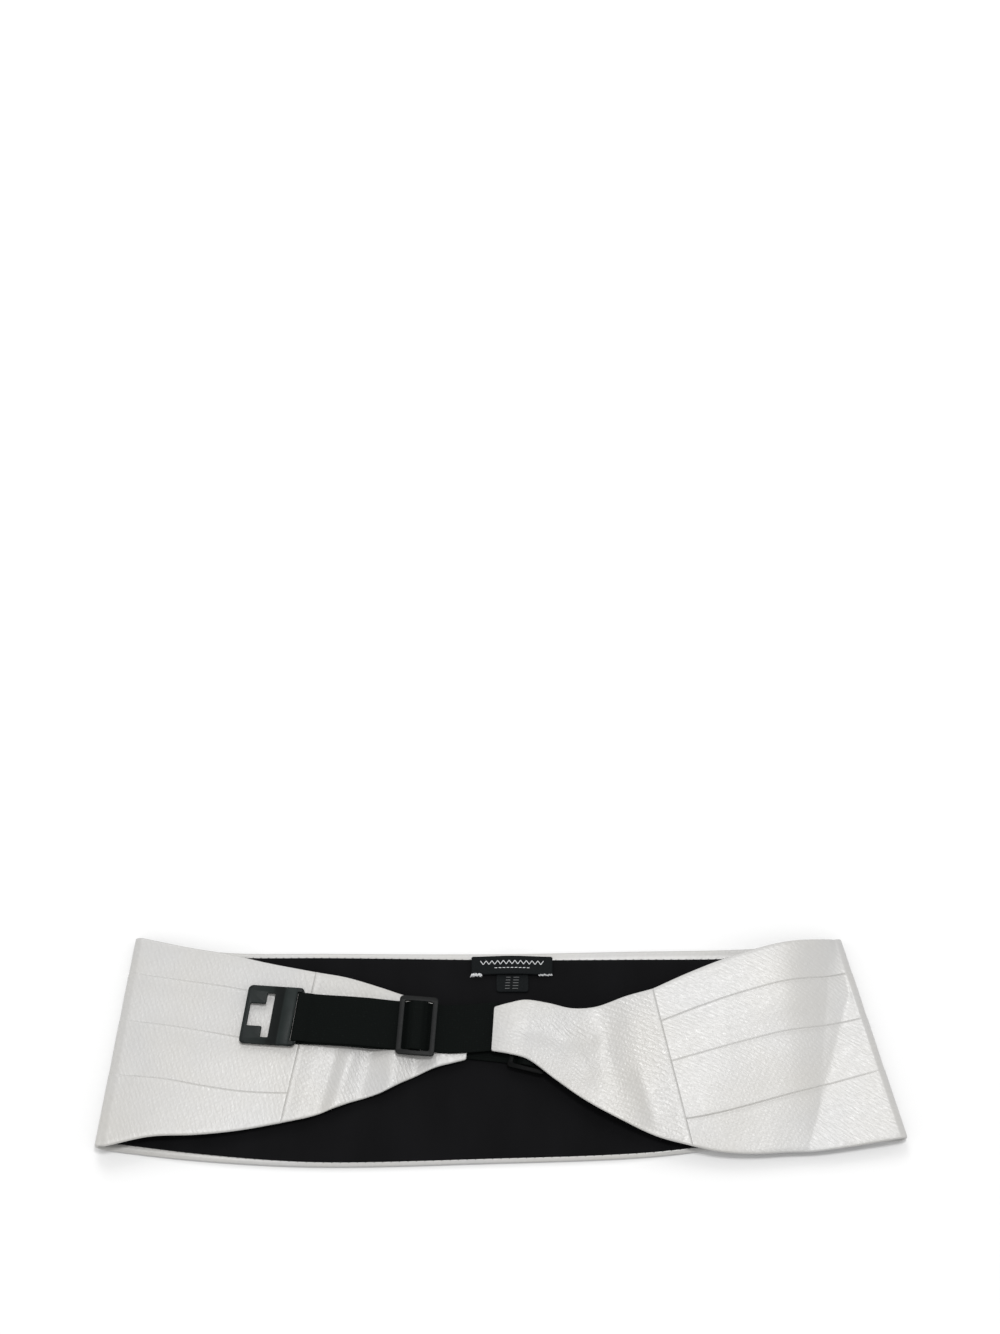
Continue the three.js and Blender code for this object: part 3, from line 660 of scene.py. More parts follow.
def make_piece(name, mesh, material, slot, *nodes):
    """An object in the scene that rides on the body and stands for its nodes."""
    mesh.materials.clear()
    mesh.materials.append(material)
    piece = bpy.data.objects.new(name, mesh)
    bpy.context.scene.collection.objects.link(piece)
    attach(piece, BODY)
    if nodes:
        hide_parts(*nodes)
    return piece


def mesh_from(name, points, faces, weave=None, smooth=True):
    """A mesh in metres from points in millimetres, with its faces turned outwards."""
    mesh = bpy.data.meshes.new(name)
    mesh.from_pydata((np.asarray(points) * MM).tolist(), [], faces)
    mesh.update()
    if signed_volume(mesh) < 0:
        mesh.flip_normals()
    mesh.shade_smooth() if smooth else mesh.shade_flat()
    if weave is not None:
        set_weave(mesh, weave)
    mesh.validate()
    return mesh


def read(items, label, kind, size=1):
    """One value or vector of each item, such as every vertex's place."""
    values = np.empty(len(items) * size, kind)
    items.foreach_get(label, values)
    return values.reshape(-1, size)


def signed_volume(mesh):
    mesh.calc_loop_triangles()
    corners = read(mesh.loop_triangles, "vertices", int, 3)
    a, b, c = read(mesh.vertices, "co", float, 3)[corners].transpose(1, 0, 2)
    return float((a * np.cross(b, c)).sum())


def set_weave(mesh, weave):
    """Stores each point's place on the flat cloth, in metres, as the mesh's UV map."""
    layer = mesh.uv_layers.new(name="weave")
    corners = read(mesh.loops, "vertex_index", int)[:, 0]
    layer.data.foreach_set("uv", np.asarray(weave)[corners].astype(np.float32).ravel())


def ring_mesh(name, rings, weave=None):
    """A closed mesh through rings of points that all have the same count."""
    count, size = rings.shape[:2]
    i, j = np.meshgrid(np.arange(count - 1), np.arange(size), indexing="ij")
    k = (j + 1) % size
    quads = np.stack([i * size + j, i * size + k, (i + 1) * size + k, (i + 1) * size + j], axis=-1)
    faces = quads.reshape(-1, 4).tolist()
    faces.append(list(range(size - 1, -1, -1)))
    faces.append(list(range((count - 1) * size, count * size)))
    flat = None if weave is None else weave.reshape(-1, 2)
    return mesh_from(name, rings.reshape(-1, 3), faces, flat)


def inset(outline, distance):
    """An outline moved to its left by a distance, corner by corner."""
    points = np.asarray(outline, float)
    into = unit(points - np.roll(points, 1, axis=0))
    away = unit(np.roll(points, -1, axis=0) - points)
    turned = unit(np.stack([-(into + away)[:, 1], (into + away)[:, 0]], axis=1))
    square = np.stack([-into[:, 1], into[:, 0]], axis=1)
    spread = np.maximum((turned * square).sum(axis=1), 0.5)
    return points + turned * (distance / spread)[:, None]


def area_of(outline):
    x, y = np.asarray(outline).T
    return float((x * np.roll(y, -1) - y * np.roll(x, -1)).sum() / 2)


def rounded_plate(outlines, low, high, edge, steps=3):
    """Points and faces of a plate between two heights, from an outline and the holes in it, with
    rounded edges all round."""
    first, *holes = [np.asarray(o, float) for o in outlines]
    first = first if area_of(first) > 0 else first[::-1]
    loops = [first, *[h if area_of(h) < 0 else h[::-1] for h in holes]]
    turns = np.linspace(0, math.pi / 2, steps + 1)
    levels = [(edge * (1 - math.sin(a)), low + edge * (1 - math.cos(a))) for a in turns]
    levels += [(edge * (1 - math.sin(a)), high - edge * (1 - math.cos(a))) for a in turns[::-1]]
    points, faces, rims = [], [], []
    for loop in loops:
        size, start = len(loop), len(points)
        for distance, height in levels:
            points += [(x, y, height) for x, y in inset(loop, distance)]
        for i in range(len(levels) - 1):
            for j in range(size):
                a, b = start + i * size + j, start + i * size + (j + 1) % size
                faces.append((a, b, b + size, a + size))
        rims.append((start, start + (len(levels) - 1) * size, size))
    for end, upward in ((0, False), (1, True)):
        indices = [rim[end] + j for rim in rims for j in range(rim[2])]
        shape = [[Vector(points[rim[end] + j]) for j in range(rim[2])] for rim in rims]
        for triangle in tessellate_polygon(shape):
            a, b, c = (indices[k] for k in triangle)
            flat = [points[k][:2] for k in (a, b, c)]
            faces.append((a, b, c) if (area_of(flat) > 0) == upward else (a, c, b))
    return np.array(points), faces


def round_rect(x0, y0, x1, y1, radius):
    """A rectangle's outline with its corners rounded."""
    outline = []
    for x, y, start in ((x1, y0, -90), (x1, y1, 0), (x0, y1, 90), (x0, y0, 180)):
        centre_x = x - math.copysign(radius, x - (x0 + x1) / 2)
        centre_y = y - math.copysign(radius, y - (y0 + y1) / 2)
        outline += arc(centre_x, centre_y, radius, start, start + 90, 5)
    return outline


def united(name, solids):
    """One closed mesh from solids that overlap."""
    objects = []
    for points, faces in solids:
        objects.append(bpy.data.objects.new(name, mesh_from(name, points, faces)))
        bpy.context.scene.collection.objects.link(objects[-1])
    whole = objects[0]
    for other in objects[1:]:
        joint = whole.modifiers.new("join", "BOOLEAN")
        joint.operation, joint.solver, joint.object = "UNION", "EXACT", other
    graph = bpy.context.evaluated_depsgraph_get()
    mesh = bpy.data.meshes.new_from_object(whole.evaluated_get(graph))
    for item in objects:
        bpy.data.objects.remove(item)
    mesh.name = name
    return mesh


def finish_fitting(mesh, matrix, shear=0.0):
    """Gives a moulded piece its own flat map, soft shading and place."""
    for layer in list(mesh.uv_layers):
        mesh.uv_layers.remove(layer)
    set_weave(mesh, read(mesh.vertices, "co", float, 3)[:, :2])
    slant = Matrix(((1, shear, 0, 0), (0, 1, 0, 0), (0, 0, 1, 0), (0, 0, 0, 1)))
    mesh.transform(matrix @ slant)
    mesh.shade_smooth()
    mesh.set_sharp_from_angle(angle=SHARP_ANGLE)
    mesh.validate()
    return mesh


# Straps


class StrapLine:
    """The line that a strap follows: its place, direction and upright at a distance from the tip."""

    def __init__(self, tip, run, base):
        reach = run[-1].at
        at = np.arange(0, reach + WALK_STEP / 2, WALK_STEP)
        stops = [r.at for r in run]
        heading = np.radians(np.interp(at, stops, [r.heading for r in run]))
        rise = np.interp(at, stops, [r.rise for r in run]) * OPEN_RISE
        x, y = (
            start + np.concatenate([[0], np.cumsum(way * WALK_STEP)[:-1]])
            for start, way in (
                (tip.x * HALF_LENGTH, np.cos(heading)), (tip.strap_y * BAND_WIDTH, np.sin(heading))))
        places = np.stack([x, y, base + rise], axis=1) + SHIFT
        self.points = places[::WALK_PICK]
        self.span = (len(self.points) - 1) * WALK_PICK * WALK_STEP

    def frames(self, at):
        """Origin, ahead, across and upright at each distance."""
        at = np.atleast_1d(np.asarray(at, float))
        share = np.clip(at / self.span, 0, 1)
        nudge = 1e-4
        before = smooth_points(self.points, np.clip(share - nudge, 0, 1))
        after = smooth_points(self.points, np.clip(share + nudge, 0, 1))
        ahead = unit(after - before)
        origin = smooth_points(self.points, share) + ahead * (at - share * self.span)[:, None]
        upright = unit(np.array([0.0, 0.0, 1.0]) - ahead * ahead[:, 2:])
        return origin, ahead, np.cross(upright, ahead), upright

    def matrix(self, at):
        """The place of a fitting on the strap, from millimetres about it to metres in the frame."""
        origin, ahead, across, upright = (v[0] for v in self.frames(at))
        placed = Matrix.Identity(4)
        for column, vector in enumerate((ahead, across, upright)):
            for row in range(3):
                placed[row][column] = vector[row]
        return Matrix.Translation(Vector(origin * MM)) @ placed


def quarter_turn(x, z, start):
    """The strap's path round a bar's corner."""
    return arc(x, z, BEND, start, start - 90, 3)


def strap_path(slider, reach):
    """The strap seen from its side: under the slider's near bar, over the middle bar, under the far
    bar, round the fitting's end bar, and back below to turn round the middle bar."""
    near_bar = slider - SLIDER_LENGTH / 2 + SLIDER_BAR / 2
    far_bar = slider + SLIDER_LENGTH / 2 - SLIDER_BAR / 2
    inside = SLIDER_LENGTH / 2 - SLIDER_BAR - BAR_ROOM
    climb = MIDDLE_BAR_WIDTH / 2 + CLIMB_START
    level = MIDDLE_BAR_WIDTH / 2 + CLIMB_LEVEL
    middle_high = OVER_MIDDLE_BAR - BAR_ROOM
    crown_high = OVER_STRAP_END - CROWN_DROP
    end_edge = reach + END_BAR_WIDTH / 2
    bar_edge = slider - MIDDLE_BAR_WIDTH / 2
    return np.array([
        (-SEWN_LENGTH, LOWER_RUN),
        (SEWN_LENGTH / 2, LOWER_RUN),
        (near_bar - SLIDER_DIP, LOWER_RUN + SOFT_STEP),
        (near_bar - 1, UNDER_MIDDLE_BAR),
        (slider - inside, UNDER_MIDDLE_BAR),
        (slider - climb, middle_high),
        (slider - level, crown_high),
        (slider - CROWN_HALF, OVER_STRAP_END),
        (slider + CROWN_HALF, OVER_STRAP_END),
        (slider + level, crown_high),
        (slider + climb, middle_high),
        (slider + inside, UNDER_MIDDLE_BAR),
        (far_bar + 1, UNDER_MIDDLE_BAR),
        (far_bar + SLIDER_LEAVE, UPPER_RUN),
        (reach - FITTING_RISE, UPPER_RUN),
        (reach - FITTING_LEVEL, OVER_END_BAR - BEND / 2),
        (reach - END_BAR_WIDTH / 2, OVER_END_BAR),
        *quarter_turn(end_edge, END_BAR_BASE + END_BAR_WALL, 90),
        *quarter_turn(end_edge, END_BAR_BASE, 0),
        (reach - FITTING_LEVEL, LOWER_RUN),
        (slider + inside + 1, LOWER_RUN),
        (slider + MIDDLE_BAR_WIDTH / 2, UNDER_MIDDLE_BAR),
        *quarter_turn(bar_edge, BAR_BASE, -90),
        *quarter_turn(bar_edge, BAR_BASE + MIDDLE_BAR_WALL, 180),
        (slider + MIDDLE_BAR_WIDTH / 2, OVER_MIDDLE_BAR),
    ])


def strap_mesh(name, line, path, wall, skew, skew_from, skew_to, drift):
    """A flat elastic strap with rounded edges along a path. Past the slider its cross lines turn to
    lie along a skewed end bar, and its lower run drifts a little to one side."""
    fine = smooth_points(path, np.linspace(0, 1, (len(path) - 1) * STRAP_STEPS + 1))
    run = np.concatenate([[0], np.cumsum(np.linalg.norm(np.diff(fine, axis=0), axis=1))])
    along = unit(np.gradient(fine, axis=0))
    square = np.stack([-along[:, 1], along[:, 0]], axis=1)
    half, width = wall / 2, STRAP_WIDTH / 2
    edge = np.array(arc(width - half, 0, half, 90, -90, 6))
    flat = np.linspace(-(width - half), width - half, 22)[1:-1]
    section = np.array([*[(a, half) for a in flat], *edge, *[(a, -half) for a in flat[::-1]], *(-edge)])
    lower = smoothstep(UPPER_RUN - fine[:, 1], 0.2, 1.1)
    aside = drift * lower * smoothstep(fine[:, 0], skew_from, skew_from + DRIFT_REACH)
    rings = []
    for to_side, height in section:
        at = fine[:, 0] + square[:, 0] * height
        turned = at + math.tan(skew) * smoothstep(at, skew_from, skew_to) * to_side
        origin, _, sideways, upright = line.frames(turned)
        raised = upright * (fine[:, 1] + square[:, 1] * height)[:, None]
        rings.append(origin + sideways * (to_side + aside)[:, None] + raised)
    rings = np.array(rings).transpose(1, 0, 2)
    weave = np.stack(np.broadcast_arrays(run[:, None], section[:, 0]), axis=-1) * MM
    return ring_mesh(name, rings, weave)


def clasp_line():
    return StrapLine(RIGHT_TIP, CLASP_STRAP_RUN, CLASP_BASE)


def hook_line():
    return StrapLine(LEFT_TIP, HOOK_STRAP_RUN, HOOK_BASE)


# Node trees


def feed(tree, socket, value):
    """Gives a socket a link or a constant."""
    if isinstance(value, bpy.types.NodeSocket):
        tree.links.new(value, socket)
    else:
        socket.default_value = value


def put(tree, kind, inputs=None, **settings):
    """Adds a node, with its settings and its inputs as values or links."""
    node = tree.nodes.new(kind)
    for key, value in settings.items():
        setattr(node, key, value)
    for key, value in (inputs or {}).items():
        feed(tree, node.inputs[key], value)
    return node


def math_node(tree, operation, first, second=0.0):
    return put(tree, "ShaderNodeMath", {0: first, 1: second}, operation=operation).outputs[0]


def noise(tree, coords, scale, detail=2.0, roughness=0.5):
    inputs = {"Vector": coords, "Scale": scale, "Detail": detail, "Roughness": roughness}
    return put(tree, "ShaderNodeTexNoise", inputs).outputs["Fac"]


def stretched(tree, coords, scale, turn=0.0):
    inputs = {"Vector": coords, "Scale": scale, "Rotation": (0, 0, turn)}
    return put(tree, "ShaderNodeMapping", inputs).outputs["Vector"]


def ribs(tree, coords, axis, pitch, wander=0.0):
    """A smooth ribbed pattern, 0 to 1, across one axis of the map."""
    direction = [0.0, 0.0, 0.0]
    direction[axis] = 2 * math.pi / pitch
    turned = put(tree, "ShaderNodeVectorMath", {0: coords, 1: direction}, operation="DOT_PRODUCT")
    phase = math_node(tree, "ADD", turned.outputs["Value"], wander)
    return math_node(tree, "MULTIPLY_ADD", math_node(tree, "SINE", phase), 0.5)


def between(tree, factor, low, high, from_low=0.0, from_high=1.0):
    inputs = {"Value": factor, "From Min": from_low, "From Max": from_high, "To Min": low, "To Max": high}
    return put(tree, "ShaderNodeMapRange", inputs).outputs["Result"]


def blend_colours(tree, factor, first, second):
    """A blend of two colours, the second where the factor is 1."""
    inputs = {0: factor, 6: (*first, 1), 7: (*second, 1)}
    return put(tree, "ShaderNodeMix", inputs, data_type="RGBA").outputs[2]


def toned(tree, colour, tone):
    inputs = {0: colour, "Scale": tone}
    return put(tree, "ShaderNodeVectorMath", inputs, operation="SCALE").outputs["Vector"]


def new_material(name):
    """A material with a Principled shader, its tree and that shader."""
    material = bpy.data.materials.new(name)
    material.use_nodes = True
    tree = material.node_tree
    shader = next(n for n in tree.nodes if n.type == "BSDF_PRINCIPLED")
    return material, tree, shader


def dress(tree, shader, **values):
    """Gives inputs of the shader their links and constants."""
    for key, value in values.items():
        feed(tree, shader.inputs[key.replace("_", " ")], value)


def shade(colour, amount):
    """A colour times one amount, or times one for each channel."""
    return tuple(float(c) for c in np.multiply(tuple(colour), amount))


def bumped(tree, height, strength, distance):
    inputs = {"Height": height, "Strength": strength, "Distance": distance * MM}
    return put(tree, "ShaderNodeBump", inputs).outputs["Normal"]


def weave_coords(tree):
    return put(tree, "ShaderNodeUVMap", uv_map="weave").outputs["UV"]


def object_coords(tree):
    return put(tree, "ShaderNodeTexCoord").outputs["Object"]


# Materials


def white_cloth(settings, name, gloss, lift):
    """Ivory silk cloth on the bias: two sets of ribs that cross, the first made of broken floats,
    with faint mottling, painted shade in the weave's low places and a soft lustre."""
    material, tree, shader = new_material(name)
    flat = weave_coords(tree)
    sway = between(tree, noise(tree, flat, 130), -3.5, 3.5)
    wander = between(tree, noise(tree, stretched(tree, flat, (1, 0.55, 1)), 620), -3.2, 3.2)
    first = ribs(tree, flat, 0, settings.rib_pitch, math_node(tree, "ADD", sway, wander))
    second = ribs(tree, flat, 1, settings.rib_pitch * 0.97, math_node(tree, "MULTIPLY", wander, 1.4))
    floats = noise(tree, stretched(tree, flat, (1.0, 0.3, 1)), 1000, 3, 0.65)
    patches = between(tree, noise(tree, flat, 90), 0.8, 1.1, 0.35, 0.65)
    crossed = math_node(tree, "MULTIPLY", first, second)
    height = math_node(tree, "MULTIPLY", first, 0.22)
    for pattern, share in ((crossed, 0.35), (floats, 1.5)):
        height = math_node(tree, "ADD", height, math_node(tree, "MULTIPLY", pattern, share))
    height = math_node(tree, "MULTIPLY", height, patches)
    mottle = between(tree, noise(tree, object_coords(tree), 22, 3), 0, 1, 0.3, 0.7)
    cool = shade(settings.cloth_colour, (0.985, 0.995, 1.015))
    warm = shade(settings.cloth_colour, (1.01, 1.0, 0.975))
    # Painted shade and light: the colour follows the relief, darker in the weave's low places and lighter
    # on its raised floats.
    tone = between(tree, height, 0.955, 1.035, 0.3, 1.5)
    colour = toned(tree, blend_colours(tree, mottle, cool, warm), tone)
    dress(
        tree, shader, Base_Color=colour, Roughness=between(tree, floats, *gloss, 0.3, 0.7),
        Normal=bumped(tree, height, lift, 0.2), Specular_IOR_Level=0.75, Sheen_Weight=0.05,
        Sheen_Roughness=0.4)
    return material


def black_lining(settings):
    """Dull black lining cloth with a fine plain weave and faint pressed creases."""
    material, tree, shader = new_material("black_lining")
    flat, base, pitch = weave_coords(tree), settings.lining_colour, 0.5 * MM
    weave = math_node(tree, "MULTIPLY", ribs(tree, flat, 0, pitch), ribs(tree, flat, 1, pitch))
    cloudy = noise(tree, stretched(tree, flat, (1, 0.3, 1)), 45, 3)
    mottle = between(tree, cloudy, 0, 1, 0.3, 0.7)
    dress(
        tree, shader, Base_Color=blend_colours(tree, mottle, shade(base, 0.8), shade(base, 1.3)),
        Roughness=between(tree, cloudy, 0.75, 0.95), Normal=bumped(tree, weave, 0.4, 0.06),
        Specular_IOR_Level=0.05)
    return material


def black_elastic(settings):
    """Black ribbed elastic: rubber cords along it, knitted loops across it, a little lint."""
    material, tree, shader = new_material("black_elastic")
    flat, base = weave_coords(tree), settings.colour
    cords = ribs(tree, flat, 1, settings.rib_pitch)
    loops = ribs(tree, flat, 0, 0.8 * MM, between(tree, cords, 0, 3.1))
    height = math_node(tree, "ADD", cords, math_node(tree, "MULTIPLY", loops, 0.5))
    lint = between(tree, noise(tree, flat, 900, 2, 0.7), 0, 1, 0.62, 0.8)
    dress(
        tree, shader, Base_Color=blend_colours(tree, lint, base, shade(base, 3.2)),
        Roughness=between(tree, loops, 0.6, 0.9), Normal=bumped(tree, height, 0.5, 0.12),
        Specular_IOR_Level=0.03)
    return material


def moulded_plastic(name, colour, specular=0.16, painted_shading=None):
    """Moulded plastic with a fine spark-eroded grain and slight cloudiness. Painted shading, as pairs
    of distance and tone, paints light and shade into its colour along the piece."""
    material, tree, shader = new_material(name)
    solid = object_coords(tree)
    grain = noise(tree, solid, 2600, 3, 0.6)
    tone = between(tree, noise(tree, solid, 160, 3), 0.85, 1.15, 0.3, 0.7)
    # Painted light and shade: a ramp along the piece lightens and darkens its colour.
    if painted_shading:
        along = put(tree, "ShaderNodeSeparateXYZ", {0: weave_coords(tree)}).outputs[0]
        first, last = painted_shading[0][0], painted_shading[-1][0]
        ramp = put(tree, "ShaderNodeValToRGB", {0: between(tree, along, 0, 1, first * MM, last * MM)})
        stops = ramp.color_ramp.elements
        while len(stops) < len(painted_shading):
            stops.new(0.5)
        for stop, (at, value) in zip(stops, painted_shading):
            stop.position = (at - first) / (last - first)
            stop.color = (value, value, value, 1)
        tone = math_node(tree, "MULTIPLY", tone, ramp.outputs[0])
    dress(
        tree, shader, Base_Color=toned(tree, colour, tone), Specular_IOR_Level=specular,
        Roughness=between(tree, grain, 0.34, 0.52, 0.3, 0.7), Normal=bumped(tree, grain, 0.25, 0.03))
    return material


def label_ribbon(settings):
    """Black woven ribbon: a tight rib across it."""
    material, tree, shader = new_material("label_ribbon")
    flat, base = weave_coords(tree), settings.ribbon_colour
    rib = ribs(tree, flat, 0, 0.34 * MM)
    speck = between(tree, noise(tree, flat, 1400), 0, 1, 0.4, 0.7)
    dress(
        tree, shader, Base_Color=blend_colours(tree, speck, base, shade(base, 1.7)),
        Roughness=between(tree, rib, 0.5, 0.7), Normal=bumped(tree, rib, 0.4, 0.05),
        Specular_IOR_Level=0.05)
    return material


def thread(name, colour):
    """Twisted sewing thread."""
    material, tree, shader = new_material(name)
    twist = noise(tree, stretched(tree, object_coords(tree), (1, 1, 2)), 3000)
    dress(
        tree, shader, Base_Color=blend_colours(tree, twist, shade(colour, 0.75), shade(colour, 1.1)),
        Normal=bumped(tree, twist, 0.4, 0.05), Roughness=0.6, Specular_IOR_Level=0.2)
    return material


# Stitches by Geometry Nodes


ATTRIBUTES = {"length": "FLOAT", "ahead": "FLOAT_VECTOR", "upright": "FLOAT_VECTOR"}


def stitch_tree(name, material):
    """A tree that lays a small arched thread at each point, along its direction and upright."""
    tree = bpy.data.node_groups.new(name, "GeometryNodeTree")
    face = tree.interface
    face.new_socket(name="Geometry", in_out="INPUT", socket_type="NodeSocketGeometry")
    for label in ("Thread Radius", "Arch"):
        face.new_socket(name=label, in_out="INPUT", socket_type="NodeSocketFloat")
    face.new_socket(name="Geometry", in_out="OUTPUT", socket_type="NodeSocketGeometry")
    inputs = tree.nodes.new("NodeGroupInput").outputs
    length, ahead, upright = (
        put(tree, "GeometryNodeInputNamedAttribute", {"Name": label}, data_type=kind).outputs[0]
        for label, kind in ATTRIBUTES.items())
    arch = put(tree, "ShaderNodeCombineXYZ", {2: inputs["Arch"]}).outputs[0]
    bow = put(tree, "GeometryNodeCurveQuadraticBezier", {
        "Resolution": 5, "Start": (-0.5, 0, 0), "Middle": arch, "End": (0.5, 0, 0),
    })
    turn = put(
        tree, "FunctionNodeAxesToRotation", {0: upright, 1: ahead}, primary_axis="Z", secondary_axis="X")
    placed = put(tree, "GeometryNodeInstanceOnPoints", {
        "Points": inputs["Geometry"], "Instance": bow.outputs[0], "Rotation": turn.outputs[0],
        "Scale": length,
    })
    real = put(tree, "GeometryNodeRealizeInstances", {0: placed.outputs[0]})
    circle = {"Resolution": 6, "Radius": inputs["Thread Radius"]}
    profile = put(tree, "GeometryNodeCurvePrimitiveCircle", circle)
    tube = put(tree, "GeometryNodeCurveToMesh", {
        "Curve": real.outputs[0], "Profile Curve": profile.outputs[0], "Fill Caps": True,
    })
    finished = put(tree, "GeometryNodeSetMaterial", {"Geometry": tube.outputs[0], "Material": material})
    tree.links.new(finished.outputs[0], tree.nodes.new("NodeGroupOutput").inputs[0])
    return tree


def stitches(name, places, ahead, upright, lengths, size, material, slot):
    """A piece of many small threads, one at each place in millimetres."""
    mesh = bpy.data.meshes.new(name)
    mesh.from_pydata((places * MM).tolist(), [], [])
    values = {"length": np.multiply(lengths, MM), "ahead": ahead, "upright": upright}
    for label, kind in ATTRIBUTES.items():
        key, shape = ("value", len(places)) if kind == "FLOAT" else ("vector", (len(places), 3))
        layer = mesh.attributes.new(label, kind, "POINT")
        layer.data.foreach_set(key, np.broadcast_to(values[label], shape).astype(np.float32).ravel())
    holder = bpy.data.objects.new(name, mesh)
    bpy.context.scene.collection.objects.link(holder)
    tree = stitch_tree(name, material)
    modifier = holder.modifiers.new("stitches", "NODES")
    modifier.node_group = tree
    keys = {item.name: item.identifier for item in tree.interface.items_tree if item.in_out == "INPUT"}
    modifier[keys["Thread Radius"]] = size[0] * MM
    modifier[keys["Arch"]] = size[1]
    graph = bpy.context.evaluated_depsgraph_get()
    made = bpy.data.meshes.new_from_object(holder.evaluated_get(graph))
    bpy.data.objects.remove(holder)
    made.shade_smooth()
    return make_piece(name, made, material, slot)


# Cloth pieces

class Section:
    """The outline round a sheet, line by line: distances from its top edge, and heights."""

    def __init__(self, count):
        self.count = count
        self.columns = []

    def column(self, distance, height):
        self.columns.append([np.broadcast_to(value, (self.count,)) for value in (distance, height)])

    def edge(self, side, start, radius):
        """Half a turn round an edge: up and in from it, or with side -1 back out and down."""
        for turn in np.radians(np.arange(270, 89, -30))[::side]:
            self.column(start + side * radius * (1 + math.cos(turn)), radius * (1 + math.sin(turn)))

    def run(self, start, stop, shares, height):
        for share in shares:
            self.column(start + (stop - start) * share, height)

    def arrays(self):
        return np.array(self.columns).transpose(1, 2, 0)


def groove_depths(side, nearness):
    """How deep each pleat line's groove is, line by line."""
    stops = (0, 0.5, 1)
    depths = [
        np.where(side < 0, np.interp(nearness, stops, left), np.interp(nearness, stops, right))
        for left, right in zip(LEFT_GROOVES, RIGHT_GROOVES)]
    return np.array(depths).T * np.where(side == 0, BACK_GROOVE_SHARE, 1)[:, None]


def cloth_section(width, marks, depth, grooves, puff):
    """The section of the pleated cloth. Depth is the step at each pleat, for each line."""
    valley, lip = CLOTH_WALL - depth / 2, CLOTH_WALL + depth / 2
    along = np.linspace(0, 1, 14)[1:-1]
    section = Section(len(width))

    def swelling(at, reach):
        return -puff * math.sin(math.pi * np.clip((at - PUFF_START) / reach, 0, 1))

    section.edge(1, 0, EDGE_RADIUS)
    begin, high = EDGE_RADIUS, CLOTH_WALL
    for mark, groove in zip((marks * width[:, None]).T, grooves.T):
        stop = mark + GROOVE[0][0]
        for share in along:
            sunk = (valley - high) * smoothstep(share, 0.3, 1)
            section.column(begin + (stop - begin) * share, high + sunk)
        for aside, rise, drop in GROOVE:
            section.column(mark + aside, valley + depth * rise - drop * groove)
        begin, high = mark + GROOVE[-1][0], lip
    for share in along:
        stop = width - EDGE_RADIUS
        section.column(begin + (stop - begin) * share, high + (CLOTH_WALL - high) * share)
    section.edge(-1, width, EDGE_RADIUS)
    for at in HEM_COLUMNS:
        section.column(width - at, swelling(at, BOTTOM_PUFF))
    section.run(0, width, np.linspace(0.92, 0.08, 12), 0)
    for at in HEM_COLUMNS[::-1]:
        section.column(at, swelling(at, TOP_PUFF))
    return section.arrays()


def wing_relief(lines, side, nearness, shares, strength):
    """The soft folds of both wings, at shares of each line, fading out towards the folded edges."""
    points = across(lines, shares)
    side, fade = side[:, None], smoothstep(nearness, 0.0, 0.22)[:, None]
    left = fold_relief(LEFT_FOLDS, points) * (side < 0)
    right = fold_relief(RIGHT_FOLDS, points) * (side > 0)
    soft = (left + right + ripples(points, *WING_RIPPLES) * (side != 0)) * fade
    return (soft + crease_dip(RIGHT_CREASE, points) * (side > 0)) * strength


def pleated_cloth(settings):
    """The pleated cloth, and its length from seam to seam."""
    shape = band()
    lines, marks = with_close_ends(shape.lines), with_close_ends(shape.marks)
    side = with_close_ends(shape.side[:, None], (0, 0, 0, 0))[:, 0]
    nearness = with_close_ends(shape.nearness[:, None])[:, 0]
    width = widths(lines)
    more_step = settings.pleat_step / MM - BACK_PLEAT_STEP
    depth = BACK_PLEAT_STEP + more_step * smoothstep(nearness, 0, 0.12)
    grooves = groove_depths(side, nearness)
    distances, heights = cloth_section(width, marks, depth, grooves, settings.hem_puff / MM)
    shares = distances / width[:, None]
    heights = 1 + (heights - 1) * pinch(len(width))
    lift = wing_relief(lines, side, nearness, np.clip(shares, 0, 1), settings.relief)
    points, _ = on_surface(lines, shares, heights + lift)
    points[..., 2] = np.maximum(points[..., 2], 0)
    mesh = ring_mesh("pleated_cloth_twill", points, weave_map(lines, shares, WING_GRAIN))
    return mesh, float(np.ptp(middle_run(lines)))


def hems(lines):
    """The widths of the turned hems: the top one widens from left to right, and the bottom one is
    widest at the left."""
    top = smoothstep(lines[0, :, 0], -90, 130)
    bottom = smoothstep(lines[1, :, 0], -190, -80)
    return (
        TOP_HEM_LEFT + (TOP_HEM_RIGHT - TOP_HEM_LEFT) * top,
        BOTTOM_HEM_LEFT + (BOTTOM_HEM_RIGHT - BOTTOM_HEM_LEFT) * bottom,
    )


def trimmed_band(count):
    """The band's lines, sides and nearness to the folds, less some lines at both ends."""
    shape = band()
    return shape.lines[:, count:-count], shape.side[count:-count], shape.nearness[count:-count]


